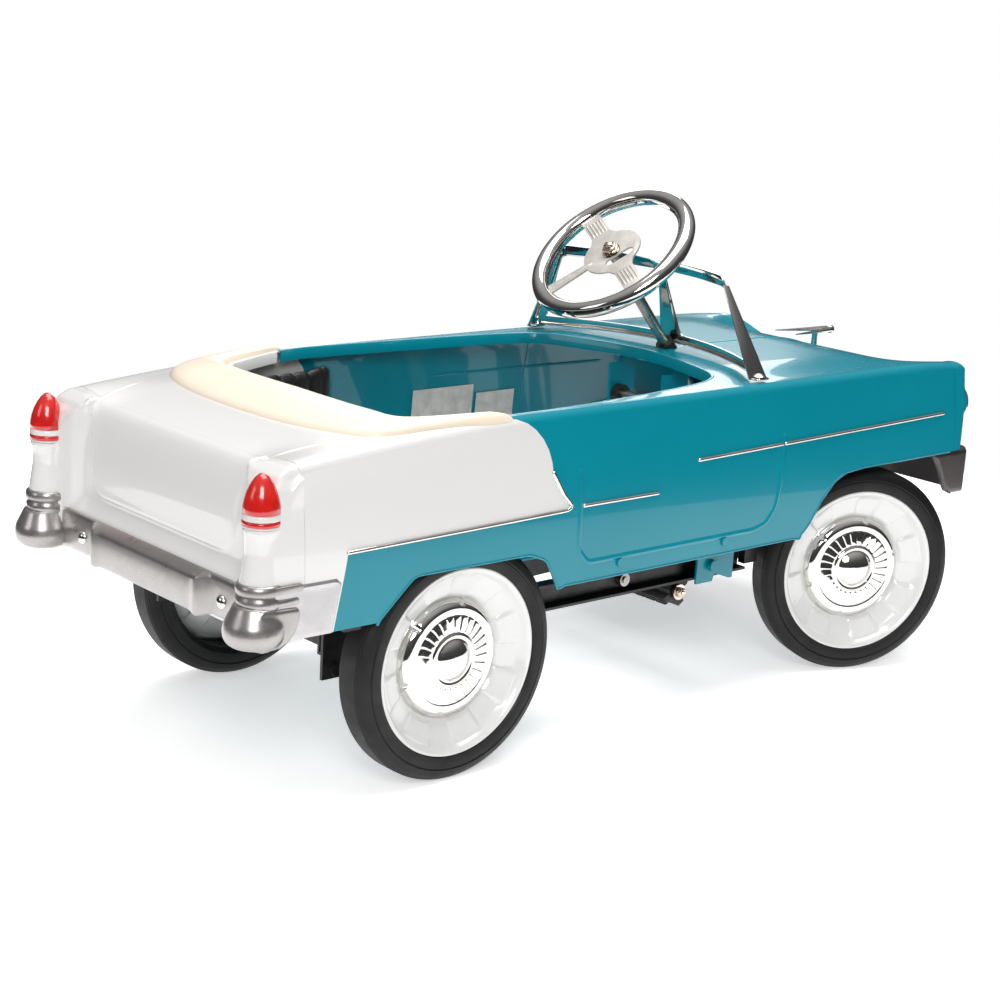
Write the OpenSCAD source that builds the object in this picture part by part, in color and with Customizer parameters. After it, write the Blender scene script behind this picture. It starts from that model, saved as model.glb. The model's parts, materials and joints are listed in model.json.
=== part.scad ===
// Child's pedal car: a two-tone open body on a bar chassis, with a bent crank
// axle driven by two hanging pedals and a steering column to the front wheels.
// Millimetres. +X forward, +Y left, +Z up, floor at z = 0. Inside the modules
// x is counted from the rear axle; the placed car is centred on the origin.

/* [Body] */
// Half width of the body at the sills
body_half_w = 222; // [216:1:226]
// Height of the fender tops and the cockpit edge
belt_z = 375; // [365:1:385]
// Height of the sills
sill_z = 190; // [184:1:196]
// Thickness of the pressed steel sheet
sheet_t = 1.5; // [1.2:0.1:2.5]
// Joint between the tail panel and the body, from the rear axle
tail_seam_x = -200; // [-206:1:-195]
// Joint between the nose panel and the body, from the rear axle
nose_seam_x = 797; // [792:1:802]
// Rearmost point of the corner guards, from the rear axle
rear_end_x = -274; // [-278:1:-272]
// Foremost point of the front bumper, from the rear axle
front_end_x = 856; // [854:1:860]

/* [Wheels] */
// Outer radius of the tyres
tyre_r = 127; // [125:1:128]
// Width of the tyres
tyre_w = 45.6; // [42:0.2:47]
// Radius at which the tyre meets the wheel disc
rim_r = 100; // [96:1:104]
// Half of the track, at the tyre centres
half_track = 193.5; // [192:0.5:194]
// Radius of the axle rod
axle_r = 6.35; // [6:0.05:6.5]
// Running clearance of a bearing, on the radius
run_gap = 0.06; // [0.03:0.01:0.09]

/* [Steering] */
// Distance from the rear axle to the kingpins
kingpin_x = 660; // [656:1:664]
// Distance of a kingpin from the centre line
kingpin_y = 160; // [158:0.5:161]
// Turn of the front wheels to the right in the stored pose
wheels_turned = 21.9; // [0:0.1:25]
// Turn of the steering wheel to the right in the stored pose
steering_turned = 30; // [0:0.5:35]
// Lean of the steering wheel's axis above the horizontal
column_lean = 49; // [47:0.5:51]
// Radius of the steering wheel, to the centre of its tube
hand_rim_r = 95; // [88:1:100]
// Radius of the steering wheel's tube
hand_tube_r = 9; // [7:0.5:10]
// Length of the forward arm on each knuckle
knuckle_arm = 53.6; // [52:0.1:55]

/* [Pedals] */
// Throw of the crank axle
crank_throw = 38; // [34:1:40]
// Distance of the crank pins from the centre line
crank_y = 23.5; // [23:0.5:24]
// Place of the pedal pivot, from the rear axle
pivot_x = 455; // [452:1:458]
// Height of the pedal pivot
pivot_z = 318; // [314:1:322]
// Length of a lever from its pivot to the push rod's pin
rod_pin_arm = 178; // [172:1:184]
// Length of a lever from its pivot to the pedal
pedal_arm = 208; // [204:1:212]

/* [Hidden] */
$fn = 48;
shift_x = -(front_end_x + rear_end_x) / 2;
light_x = rear_end_x + 36;
light_y = 199;
col_cos = cos(column_lean);
col_sin = sin(column_lean);
hand_centre = [389, 0, 499];
crank_tip_r = 40;
column_foot = [683.4, 0, 159.7];
lever_swing = asin(crank_throw / rod_pin_arm);

// ---------- small helpers ----------
function mix(a, b, t) = a + (b - a) * t;
function smooth(t) = let (u = min(1, max(0, t))) u * u * (3 - 2 * u);

// Puts a part drawn from the rear axle into the car's own frame
module place() {
    translate([shift_x, 0, 0]) children();
}

module mirrored() {
    children();
    mirror([0, 1, 0]) children();
}

// Cylinder along Y from y0 to y1
module rod_y(x, z, y0, y1, r) {
    translate([x, y0, z]) rotate([-90, 0, 0]) cylinder(h = y1 - y0, r = r);
}

// Plate with rounded ends between two points of the XZ plane, y0 to y1
module link_xz(p, q, w, y0, y1) {
    len = norm(q - p);
    angle = atan2(q[1] - p[1], q[0] - p[0]);
    translate([p[0], y1, p[1]])
        rotate([90, 0, 0])
            rotate([0, 0, angle])
                linear_extrude(y1 - y0) {
                    translate([0, -w / 2]) square([len, w]);
                    circle(w / 2);
                    translate([len, 0]) circle(w / 2);
                }
}

// Extrudes an XZ outline across the whole car
module across(half = 300) {
    translate([0, half, 0]) rotate([90, 0, 0]) linear_extrude(2 * half) children();
}

// ---------- body surface ----------
// Height of the fender ridge at x
function ridge_z(x) =
    x < 100 ? belt_z - 20 * pow((100 - x) / 300, 1.6)
    : x < 700 ? belt_z
    : belt_z - 4 * pow((x - 700) / 100, 2);

// Half width of the body at x
function half_w(x) = body_half_w - 4 * pow((x - 300) / 500, 2);

// Height of the deck or hood on the centre line at x
function mid_z(x) =
    x < -80 ? ridge_z(x) + 4 - 12 * pow((-80 - x) / 120, 2)
    : x < 660 ? ridge_z(x) + 4
    : ridge_z(x) + 4 - 30 * pow((x - 660) / 140, 2);

// Half of the body's cross-section, from the sill up to the centre line
function half_section(w, ridge, mid, low) =
    let (r = 11, cy = w - 13 - r, cz = ridge - r)
    concat(
        [for (z = [low, 235, 270, 300, 325, 345])
            [w - 13 * pow(max(0, z - 235) / 125, 2), min(z, cz - 4)]],
        [for (a = [0:18:90]) [cy + r * cos(a), cz + r * sin(a)]],
        [for (i = [1:8])
            let (y = cy * (1 - i / 8))
            [y, ridge + (mid - ridge) * smooth((cy - y) / 75)]]);

function section(w, ridge, mid, low) =
    let (h = half_section(w, ridge, mid, low), n = len(h))
    concat(h, [for (i = [n - 2:-1:0]) [-h[i][0], h[i][1]]]);

// Closed solid through a list of sections, each [x, points of y and z]
module loft(stations) {
    n = len(stations[0][1]);
    m = len(stations);
    polyhedron(
        points = [for (s = stations) for (p = s[1]) [s[0], p[0], p[1]]],
        faces = concat(
            [[for (j = [0:n - 1]) j]],
            [for (i = [0:m - 2]) for (j = [0:n - 1])
                let (k = (j + 1) % n)
                [i * n + j, (i + 1) * n + j, (i + 1) * n + k, i * n + k]],
            [[for (j = [n - 1:-1:0]) (m - 1) * n + j]]),
        convexity = 6);
}

// The body's outer form between two places, drawn in by an inset
module body_form(x0, x1, inset, low) {
    count = 26;
    loft([for (i = [0:count])
        let (x = mix(x0, x1, i / count))
        [x, section(half_w(x) - inset, ridge_z(x) - inset, mid_z(x) - inset, low)]]);
}

// Space taken by the body, for trimming what lies on it
module body_space() {
    body_form(tail_seam_x, nose_seam_x, -0.03, sill_z);
}

// Paint line between the white rear and the coloured body, as an XZ outline
module white_area() {
    polygon(concat(
        [[-400, 100], [-165, 100], [-165, 190], [-150, 266], [137, 272], [112, 313]],
        [for (a = [10:16:90]) [54 + 58 * cos(a), 313 + 60 * sin(a)]],
        [[54, 500], [-400, 500]]));
}

// Wheel openings in the body's side, the front one open to the bumper, as an XZ outline
module arch_area() {
    offset(r = 14) offset(r = -14) {
        polygon([[-113, 120], [-113, 189], [-92, 209], [-68, 231], [82, 231], [106, 222],
            [124, 189], [130, 120]]);
        polygon([[507, 120], [509, 192], [523, 203], [543, 231], [565, 251.5], [585, 259.5],
            [620, 262], [900, 262], [900, 120]]);
    }
}

// Plan of the cockpit opening
module cockpit_area() {
    half = [[-44, 128], [-32, 158], [-8, 171], [78, 195], [240, 186], [354, 172],
        [400, 158], [420, 138], [440, 80], [452, 36]];
    polygon(concat(half, [[457, 0]],
        [for (i = [len(half) - 1:-1:0]) [half[i][0], -half[i][1]]]));
}

// Bead pressed into both doors, as a chain of short round ridges
module door_bead() {
    outline = [[150, 313], [150, 226], [164, 211], [424, 211], [446, 216],
        [460, 234], [466, 262], [472, 318]];
    for (i = [0:len(outline) - 2])
        hull()
            for (p = [outline[i], outline[i + 1]])
                translate([p[0], half_w(p[0]) - 13 * pow(max(0, p[1] - 235) / 125, 2) - 0.4, p[1]])
                    sphere(r = 1.6, $fn = 8);
}

// Turned-down lip round the cockpit opening
module cockpit_lip() {
    intersection() {
        body_form(-100, 500, 0.2, sill_z);
        translate([0, 0, belt_z - 14])
            linear_extrude(30)
                difference() {
                    offset(r = 1.6) cockpit_area();
                    cockpit_area();
                }
    }
}

module body_hollow(x0, x1) {
    difference() {
        body_form(x0, x1, 0, sill_z);
        body_form(x0 - 1, x1 + 1, sheet_t, sill_z - 10);
        across() arch_area();
        translate([0, 0, 300]) linear_extrude(120) cockpit_area();
    }
}

// Coloured main body: sides with doors, cowl, hood and fenders in one pressing
module body_shell() {
    color("#0d8599")
        difference() {
            union() {
                body_hollow(tail_seam_x, nose_seam_x);
                cockpit_lip();
                mirrored() door_bead();
            }
            across() white_area();
            translate(hand_centre)
                rotate([0, 90 + column_lean, 0])
                    translate([0, 0, 120]) cylinder(h = 70, r = 11.3);
            mirrored() for (x = [213, 377]) rod_y(x, 204, 210, 230, 2.6);
        }
}

// Fine pressed line along the lower edge of the rear quarter
module side_line() {
    for (x = [-198:4:-166])
        hull()
            for (end = [x, x + 4])
                translate([end, half_w(end) - 0.5, 244]) sphere(r = 0.9, $fn = 8);
}

// White rear deck and quarters, meeting the body on the paint line
module rear_deck_shell() {
    color("#f1f1f0")
        intersection() {
            union() {
                body_hollow(tail_seam_x, nose_seam_x);
                cockpit_lip();
                mirrored() side_line();
            }
            across() white_area();
        }
}

// Side outline of the tail between the pillars, flared out to the bumper at the bottom
module tail_side(inset) {
    low = inset > 0 ? 170 : 186;
    top = ridge_z(tail_seam_x) - inset;
    polygon(concat(
        [[tail_seam_x + (inset > 0 ? 1 : 0), low], [-229 + inset, low], [-231 + inset, 190],
            [-231 + inset, 231], [-222 + inset, 246]],
        [for (a = [0:15:90]) [-200 - (21 - inset) * cos(a), 300 + (top - 300) * sin(a)]],
        [[tail_seam_x + (inset > 0 ? 1 : 0), top]]));
}

// The body's cross-section at the tail seam, carried rearward
module tail_section(inset) {
    translate([-330, 0, 0]) rotate([90, 0, 90])
        linear_extrude(131 + (inset > 0 ? 1 : 0))
            polygon(section(half_w(tail_seam_x) - inset, ridge_z(tail_seam_x) - inset,
                mid_z(tail_seam_x) - inset, 100));
}

module tail_form(inset) {
    intersection() {
        across() tail_side(inset);
        tail_section(inset);
    }
}

// Fin at each rear corner, which carries the pillar and the light
module tail_fin(inset) {
    front = tail_seam_x + (inset > 0 ? 1 + inset : 0);
    low = inset > 0 ? 170 : 186;
    intersection() {
        across()
            offset(delta = -inset)
                polygon([[front, low], [-238, low], [-238, 300.5], [-233, 325], [-224, 343],
                    [-212, 352], [front, 355]]);
        linear_extrude(500)
            offset(delta = -inset)
                polygon([[front, 148], [-221, 148], [-229.5, 160], [-236, 184], [-238, 199],
                    [-238, 217.9], [front, 217.9]]);
        tail_section(inset);
    }
}

// Upright pillar at each rear corner, waisted between the light and the bumper
module tail_pillar() {
    translate([light_x, light_y, 0])
        rotate_extrude()
            polygon([[0, 246], [20, 246], [19, 258], [16.5, 276], [17.5, 292], [20, 300.5],
                [0, 300.5]]);
}

// White end panel with the pillars for the lights
module tail_panel() {
    color("#f1f1f0")
        difference() {
            union() {
                tail_form(0);
                mirrored() {
                    tail_fin(0);
                    tail_pillar();
                }
            }
            tail_form(sheet_t);
            mirrored() {
                tail_fin(sheet_t);
                translate([light_x, light_y, 300.5]) cylinder(h = 60, r = 20.4);
                guard_form(0.3);
            }
        }
}

// Bullet lens standing on each pillar
module tail_lights() {
    color("#e03028")
        mirrored()
            translate([light_x, light_y, 0])
                rotate_extrude()
                    polygon([[0, 300.6], [20, 300.6], [20.3, 304], [19.6, 307], [19.6, 311],
                        [20.2, 313], [19.4, 322], [17, 332], [13, 341], [7, 348], [0, 351]]);
}

// Front end panel: fender fronts, hood front and the opening for the grille
module nose_form(inset) {
    top = ridge_z(nose_seam_x);
    intersection() {
        across()
            polygon(concat(
                [[nose_seam_x - (inset > 0 ? 1 : 0), 262 - (inset > 0 ? 10 : 0)],
                    [821 - inset, 262 - (inset > 0 ? 10 : 0)], [828 - inset, 335]],
                [for (a = [15:15:90])
                    [800 + (28 - inset) * cos(a), top - inset - 34 + 34 * sin(a)]],
                [[nose_seam_x - (inset > 0 ? 1 : 0), top - inset]]));
        translate([700, 0, 0]) rotate([90, 0, 90])
            linear_extrude(200)
                polygon(section(half_w(nose_seam_x) - inset, top - inset,
                    mid_z(nose_seam_x) - inset, 200));
        linear_extrude(500)
            polygon([[nose_seam_x - 1, inset - 220], [815, inset - 220], [826 - inset, -200],
                [830 - inset, 0], [826 - inset, 200], [815, 220 - inset],
                [nose_seam_x - 1, 220 - inset]]);
    }
}

module nose_panel() {
    color("#0d8599")
        difference() {
            nose_form(0);
            nose_form(sheet_t);
            translate([800, -138, 272]) cube([60, 276, 50]);
            mirrored() translate([810, 184, 318]) rotate([0, 90, 0]) cylinder(h = 40, r = 23.4);
        }
}

// Slatted grille behind the nose opening
module grille() {
    color("#b9bdc0") {
        difference() {
            translate([822, -137.7, 272.3]) cube([5, 275.4, 49.4]);
            translate([820, -131, 278]) cube([9, 262, 38]);
        }
        for (z = [284, 293.5, 303])
            translate([823, -132, z]) cube([3, 264, 4]);
        for (i = [-5:5])
            translate([822.5, i * 22 - 1.5, 277]) cube([2, 3, 40]);
    }
}

// Headlight with its rim on each fender front
module headlights() {
    color("#dfe6ea")
        mirrored()
            translate([812, 184, 318])
                rotate([0, 90, 0])
                    rotate_extrude()
                        polygon([[0, 0], [23, 0], [23, 17], [21, 19.5], [18.5, 18],
                            [12, 20.6], [0, 22]]);
}

// Folded-top cover round the back of the cockpit
module boot_outer() {
    half = [[-138, 0], [-136, 60], [-130, 110], [-118, 150], [-100, 178], [-75, 190],
        [-40, 196], [25, 205], [62, 209]];
    polygon(concat(half, [[72, 204], [64, 197], [31, 187], [0, 178], [-30, 166],
        [-46, 148], [-49, 110], [-47, 0]]));
}

module boot_cover() {
    color("#f3ead9")
        mirrored()
            intersection() {
                translate([0, 0, 340]) {
                    linear_extrude(39) boot_outer();
                    linear_extrude(43) offset(r = -3) boot_outer();
                    linear_extrude(46) offset(r = -7) boot_outer();
                }
                difference() {
                    translate([-160, -0.01, 300]) cube([260, 260, 100]);
                    body_space();
                }
            }
}

// Pressed seat: pan, front lip and a back rest panel
module seat_pan() {
    color("#0b6f80") {
        translate([-52, -164, 203]) cube([250, 328, 2]);
        translate([196, -164, 192]) cube([2, 328, 11]);
        translate([-52, -164, 205]) cube([2, 328, 142]);
    }
}

// Pleated padding on the back rest, carried round to both sides
module seat_back() {
    color("#161616") {
        for (i = [-7:7])
            translate([-42, i * 22, 232]) linear_extrude(122) scale([0.64, 1]) circle(11.4);
        translate([-49.8, -164, 232]) cube([5, 328, 122]);
        mirrored()
            for (i = [0:7])
                translate([-20 + i * 21, 184 + i * 1.6, 264])
                    linear_extrude(92) scale([1, 0.5]) circle(11.2);
    }
}

// Seat cushion on the pan
module seat_cushion() {
    color("#161616")
        translate([-36, -158, 205.2])
            hull() {
                translate([4, 4, 0]) cube([226, 308, 2]);
                translate([0, 0, 10]) cube([234, 316, 8]);
                translate([10, 10, 24]) cube([214, 296, 2]);
            }
}

// ---------- trim ----------
// Open windshield frame: top bar, bottom bars, side posts and a centre post
module windshield_frame() {
    half_n = 5;
    top_bar = [for (i = [-half_n:half_n])
        let (u = i / half_n) [470 - 35 * u * u, 134 * u, 484 + u * u]];
    base_bar = [for (i = [-half_n:half_n])
        let (u = i / half_n) [503 - 55 * u * u, 186 * u, 386 - 4 * u * u]];
    color("#c9ced2")
        difference() {
            union() {
                for (b = [top_bar, base_bar])
                    for (i = [0:2 * half_n - 1])
                        hull()
                            for (p = [b[i], b[i + 1]])
                                translate(p) rotate([0, -18, 0]) cube([3, 2, 12], center = true);
                mirrored()
                    hull() {
                        translate([436, 134, 484]) cube([8, 3, 8], center = true);
                        translate([449, 190, 378.2]) cube([26, 3, 3], center = true);
                    }
                hull() {
                    translate([470, 0, 482]) cube([4, 10, 4], center = true);
                    translate([503, 0, 386]) cube([4, 26, 6], center = true);
                }
            }
            body_space();
            mirrored() translate([449, 190, 379.7]) cylinder(h = 8, r = 7.3);
            for (y = [-8, 8])
                translate([505.9, y, 386]) rotate([0, 72, 0]) cylinder(h = 6, r = 3.3);
            translate(on_axis(140)) rotate([0, 90 + column_lean, 0]) cylinder(h = 40, r = 11.4);
        }
}

// Dome bolts at the feet of the windshield
module windshield_bolts() {
    color("#d8dcdf") {
        mirrored()
            translate([449, 190, 379.8]) {
                cylinder(h = 3, r = 7);
                translate([0, 0, 3]) cylinder(h = 3, r1 = 4.5, r2 = 2);
            }
        for (y = [-8, 8])
            translate([506, y, 386]) rotate([0, 72, 0]) cylinder(h = 3.5, r = 3);
    }
}

// Swept wing ornament on the hood
module hood_ornament() {
    color("#d8dcdf")
        difference() {
            union() {
                mirrored()
                    hull() {
                        translate([802, 2, 381]) sphere(r = 4.6, $fn = 20);
                        translate([713, 17, 382]) sphere(r = 2.2, $fn = 20);
                    }
                translate([770, 0, 352]) cylinder(h = 28, r = 4);
            }
            body_space();
        }
}

// Point on the outside of the body's side
function side_point(x, z, proud) =
    [x, half_w(x) - 13 * pow(max(0, z - 235) / 125, 2) + proud, z];

// Round-backed strip along the body's side
module side_trim(ends, w) {
    mirrored()
        difference() {
            for (i = [0:len(ends) - 2])
                hull()
                    for (p = [ends[i], ends[i + 1]])
                        translate(side_point(p[0], p[1], 0.8)) sphere(r = w / 2, $fn = 16);
            body_space();
        }
}

module quarter_trims() {
    color("#d8dcdf") side_trim([[-150, 266], [0, 269], [135, 272], [112, 311]], 4.4);
}

module door_trims() {
    color("#d8dcdf") side_trim([[155, 274], [264, 274]], 4.4);
}

module fender_trims() {
    color("#d8dcdf") {
        side_trim([[329, 303], [467, 306]], 4.4);
        side_trim([[473, 306], [620, 309], [772, 312]], 4.4);
    }
}

// Rear bumper: a flat bar with a raised centre section
module rear_bumper() {
    color("#a9a9ab") {
        translate([-234, -164, 190]) cube([2.8, 328, 40]);
        difference() {
            hull() {
                translate([-242.4, -97, 190]) cube([1, 194, 33]);
                translate([-234, -112, 187]) cube([1, 224, 38]);
            }
            translate([-240.4, -98, 191]) cube([8, 196, 31]);
        }
    }
}

// Corner guard with its stepped collar at each rear corner
module guard_form(gap) {
    translate([light_x - 5, light_y, 0])
        rotate_extrude()
            polygon([[0, 178 - gap], [20 + gap, 178 - gap], [27 + gap, 184], [31 + gap, 194],
                [30 + gap, 206], [24 + gap, 218], [18, 226], [0, 226]]);
    translate([light_x, light_y, 0])
        rotate_extrude()
            polygon([[0, 215], [18, 215], [20.5 + gap, 224], [21.5 + gap, 226],
                [21.5 + gap, 233], [20.5 + gap, 235], [22.4 + gap, 237], [22.4 + gap, 244],
                [20 + gap, 246], [0, 246]]);
}

// Corner guards, each with the plate that carries it forward along the side
module bumper_guards() {
    color("#a9a9ab")
        mirrored() {
            guard_form(0);
            translate([light_x, 218.7, 190]) cube([light_x + 318, 1.2, 52]);
        }
}

// Dome screws that hold the rear bumper
module bumper_screws() {
    color("#c4c4c6")
        mirrored()
            translate([-234.1, 131, 207])
                rotate([0, -90, 0])
                    rotate_extrude()
                        polygon([[0, 0], [6.5, 0], [5.6, 2.6], [3, 4.2], [0, 4.8]]);
}

// Front bumper: a full-width pressing with a top roll
module front_bumper_side() {
    polygon([[757, 261.5], [840, 261.5], [843, 257], [838, 250], [848, 240],
        [front_end_x, 226], [854, 214], [842, 206], [796, 208], [786, 215], [778, 230],
        [768, 247]]);
}

module front_bumper() {
    color("#8f9092")
        difference() {
            intersection() {
                across(217) front_bumper_side();
                linear_extrude(400)
                    polygon([[700, -217], [822, -217], [842, -200], [851, -160],
                        [front_end_x, 0], [851, 160], [842, 200], [822, 217], [700, 217]]);
            }
            translate([740, -214.5, 190]) cube([74, 429, 69]);
            translate([813, -200, 208.5]) cube([22, 400, 50]);
        }
}

// ---------- chassis ----------
module chassis_rails() {
    color("#1c1c1d")
        mirrored()
            difference() {
                translate([-120, 134, 135]) cube([620, 16, 30]);
                translate([-121, 137, 138]) cube([622, 14, 24]);
                rod_y(303, 150, 130, 155, 4.05);
            }
}

// Bolts through the rails
module rail_bolts() {
    color("#b9b4a8")
        mirrored() {
            rod_y(303, 150, 130, 146, 4);
            rod_y(303, 150, 137.2, 144, 7.5);
            translate([303, 129.9, 150]) rotate([90, 0, 0]) cylinder(h = 5, r = 7, $fn = 6);
        }
}

// Straps from sill to sill, and the bars that carry the front axle
module cross_members() {
    color("#1c1c1d") {
        for (x = [213, 377]) {
            translate([x - 13, -217, 198]) cube([26, 434, 3]);
            mirrored()
                difference() {
                    translate([x - 13, 217, 198]) cube([26, 2.4, 16]);
                    rod_y(x, 204, 210, 225, 2.6);
                }
            mirrored() translate([x - 10, 140, 165]) cube([20, 5, 33]);
        }
        translate([-112, -134, 140]) cube([20, 268, 18]);
        translate([511, -148, 141]) cube([11, 296, 18]);
        mirrored() translate([500, 138, 141]) cube([11, 10, 18]);
        mirrored() translate([513, 48, 135.2]) cube([164, 12, 5.8]);
    }
}

// Brackets bolted on the rails: black at the tail, coloured at the pedals
module rail_brackets() {
    color("#17181a")
        mirrored() {
            difference() {
                translate([-128, 150.2, 114]) cube([30, 4, 74]);
                rod_y(-113, 124, 148, 154.2, 4.5);
            }
            rod_y(-113, 124, 154.2, 160, 7);
            translate([-150, 150.2, 174]) cube([24, 4, 14]);
            translate([-150, 150.2, 186]) cube([20, 66, 3.8]);
            difference() {
                translate([412, 150.2, 130]) cube([62, 3, 36]);
                translate([438, 149, 126]) rotate([0, 20, 0]) cube([60, 6, 14]);
            }
            rod_y(436, 150, 153.2, 159, 7);
        }
}

module rear_axle_bearings() {
    color("#2a2a2c")
        mirrored()
            difference() {
                translate([-17, 134, 110]) cube([34, 16, 24.8]);
                rod_y(0, tyre_r, 130, 155, axle_r + run_gap);
            }
}

module front_axle_beam() {
    color("#1c1c1d")
        difference() {
            union() {
                translate([kingpin_x - 8, -kingpin_y, 119]) cube([16, 2 * kingpin_y, 16]);
                mirrored() translate([kingpin_x, kingpin_y, 116]) cylinder(h = 22, r = 9);
            }
            mirrored() translate([kingpin_x, kingpin_y, 100]) cylinder(h = 60, r = 5);
        }
}

module kingpins() {
    color("#9a9c9e")
        mirrored()
            translate([kingpin_x, kingpin_y, 0]) {
                translate([0, 0, 104]) cylinder(h = 45.7, r = 5);
                translate([0, 0, 149.7]) cylinder(h = 4, r = 8);
                translate([0, 0, 101]) cylinder(h = 5, r = 7);
            }
}

// ---------- steering ----------
// Frame on the steering wheel: local Z along the column toward the driver
module on_column() {
    translate(hand_centre)
        rotate([0, column_lean - 90, 0])
            rotate([0, 0, -steering_turned])
                children();
}

// Point on the column at a distance below the steering wheel
function on_axis(s) = hand_centre + s * [col_cos, 0, -col_sin];

module column_bush() {
    color("#202022")
        difference() {
            translate(on_axis(150)) rotate([0, 90 + column_lean, 0]) cylinder(h = 20, r = 10.8);
            translate(on_axis(140)) rotate([0, 90 + column_lean, 0])
                cylinder(h = 40, r = axle_r + run_gap);
        }
}

// Stand on the front axle that holds the foot of the column
module column_pedestal() {
    color("#1c1c1d")
        difference() {
            union() {
                across(7)
                    polygon([[652, 135.2], [668, 135.2], [668, 150], [660, 190], [640, 206],
                        [636, 198], [650, 182]]);
                translate(on_axis(386)) rotate([0, 90 + column_lean, 0]) cylinder(h = 24, r = 11);
            }
            translate(on_axis(360)) rotate([0, 90 + column_lean, 0])
                cylinder(h = 90, r = axle_r + run_gap);
        }
}

// Column rod with a crank at its foot that reaches the tie rod
module steering_column() {
    foot = -norm(column_foot - hand_centre);
    color("#b5b8bb")
        on_column() {
            translate([0, 0, foot]) cylinder(h = -foot + 12, r = axle_r);
            translate([0, 0, foot - 4]) cylinder(h = 8, r = 9);
            translate([0, -6, foot - 4]) cube([crank_tip_r, 12, 8]);
            translate([crank_tip_r, 0, foot - 4]) cylinder(h = 8, r = 6);
            translate([crank_tip_r, 0, foot - 38]) cylinder(h = 36, r = 4);
        }
}

module steering_rim() {
    color("#d5d9dc")
        on_column()
            rotate_extrude($fn = 96) translate([hand_rim_r, 0]) circle(hand_tube_r);
}

// Pressed three-spoke centre of the steering wheel, held by the rim
module steering_spokes() {
    reach = sqrt(pow(hand_rim_r - hand_tube_r, 2) - 144) - 0.1;
    color("#d9d6cf")
        on_column()
            difference() {
                union() {
                    cylinder(h = 3, r = 36);
                    for (a = [90, -90])
                        rotate([0, 0, a]) {
                            translate([0, -12, 0]) cube([reach, 24, 3]);
                            for (i = [-2:2]) translate([42, i * 4 - 0.9, 3]) cube([28, 1.8, 1]);
                        }
                    rotate([0, 0, 180]) translate([0, -5, 0]) cube([reach, 10, 3]);
                    rotate([0, 0, 180]) translate([20, -2, 3]) cube([56, 4, 1.6]);
                    cylinder(h = 5, r = 12);
                }
                translate([0, 0, -1]) cylinder(h = 10, r = axle_r + 0.05);
                for (x = [-9, 17]) translate([x, -18, -1]) cylinder(h = 5, r = 5.6);
                translate([-9, -23.6, -1]) cube([26, 11.2, 5]);
            }
}

module steering_nut() {
    color("#c0a890")
        on_column()
            difference() {
                union() {
                    translate([0, 0, 5.1]) cylinder(h = 2, r = 11);
                    translate([0, 0, 7.1]) cylinder(h = 8, r = 9, $fn = 6);
                }
                translate([0, 0, 4]) cylinder(h = 9, r = axle_r + 0.02);
            }
}

// Frame on a kingpin, turned with the wheels; side is 1 left, -1 right
module on_kingpin(side) {
    translate([kingpin_x, side * kingpin_y, 0])
        rotate([0, 0, -wheels_turned])
            children();
}

// Knuckle: a yoke round the beam's end, the wheel's stub and the steering arm
module knuckle(side) {
    color("#232325")
        on_kingpin(side)
            difference() {
                union() {
                    translate([-10, side > 0 ? -9 : -17, 138.3]) cube([20, 26, 5.7]);
                    translate([-10, side > 0 ? -9 : -17, 110]) cube([20, 26, 5.7]);
                    translate([-10, side > 0 ? 12 : -17, 110]) cube([20, 5, 34]);
                    translate([0, -8, 138.3]) cube([knuckle_arm, 16, 5.7]);
                    translate([knuckle_arm, 0, 138.3]) cylinder(h = 5.7, r = 8);
                    rod_y(0, tyre_r, side > 0 ? 14 : -47, side > 0 ? 47 : -14, axle_r);
                }
                translate([0, 0, 137]) cylinder(h = 10, r = 5 + run_gap);
                translate([0, 0, 105]) cylinder(h = 12, r = 5 + run_gap);
                translate([knuckle_arm, 0, 135]) cylinder(h = 12, r = 4 + run_gap);
            }
}

// Tie rod between the knuckle arms, with the slotted plate for the column's crank
module tie_rod() {
    shift = [kingpin_x + knuckle_arm * cos(wheels_turned), -knuckle_arm * sin(wheels_turned), 0];
    color("#232325")
        translate(shift) {
            translate([-5, -kingpin_y, 146]) cube([10, 2 * kingpin_y, 8]);
            mirrored()
                translate([0, kingpin_y, 0]) {
                    translate([0, 0, 146]) cylinder(h = 8, r = 8.5);
                    translate([0, 0, 134]) cylinder(h = 12, r = 4);
                    translate([0, 0, 132]) cylinder(h = 5, r = 6.5);
                }
            difference() {
                translate([-2, -15, 142]) cube([18, 30, 4]);
                translate([14, -7, 141]) cube([4, 14, 6]);
            }
            difference() {
                translate([12, -15, 142]) cube([4, 30, 52]);
                translate([11, -7, 152]) cube([6, 14, 34]);
            }
        }
}

// ---------- wheels ----------
// Frame on a wheel's centre with local Z pointing outward
module on_rear_wheel(side) {
    translate([0, side * half_track, tyre_r]) rotate([-90 * side, 0, 0]) children();
}

module on_front_wheel(side) {
    on_kingpin(side)
        translate([0, side * (half_track - kingpin_y), tyre_r])
            rotate([-90 * side, 0, 0])
                children();
}

module tyre() {
    h = tyre_w / 2;
    color("#232324")
        rotate_extrude($fn = 128)
            polygon([[rim_r - 6, -h + 6], [rim_r, -h + 1], [rim_r + 10, -h], [rim_r + 20, -h + 2],
                [tyre_r - 3, -h + 7], [tyre_r, -h + 13], [tyre_r, h - 13], [tyre_r - 3, h - 7],
                [rim_r + 20, h - 2], [rim_r + 10, h], [rim_r, h - 1], [rim_r - 6, h - 6]]);
}

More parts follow.
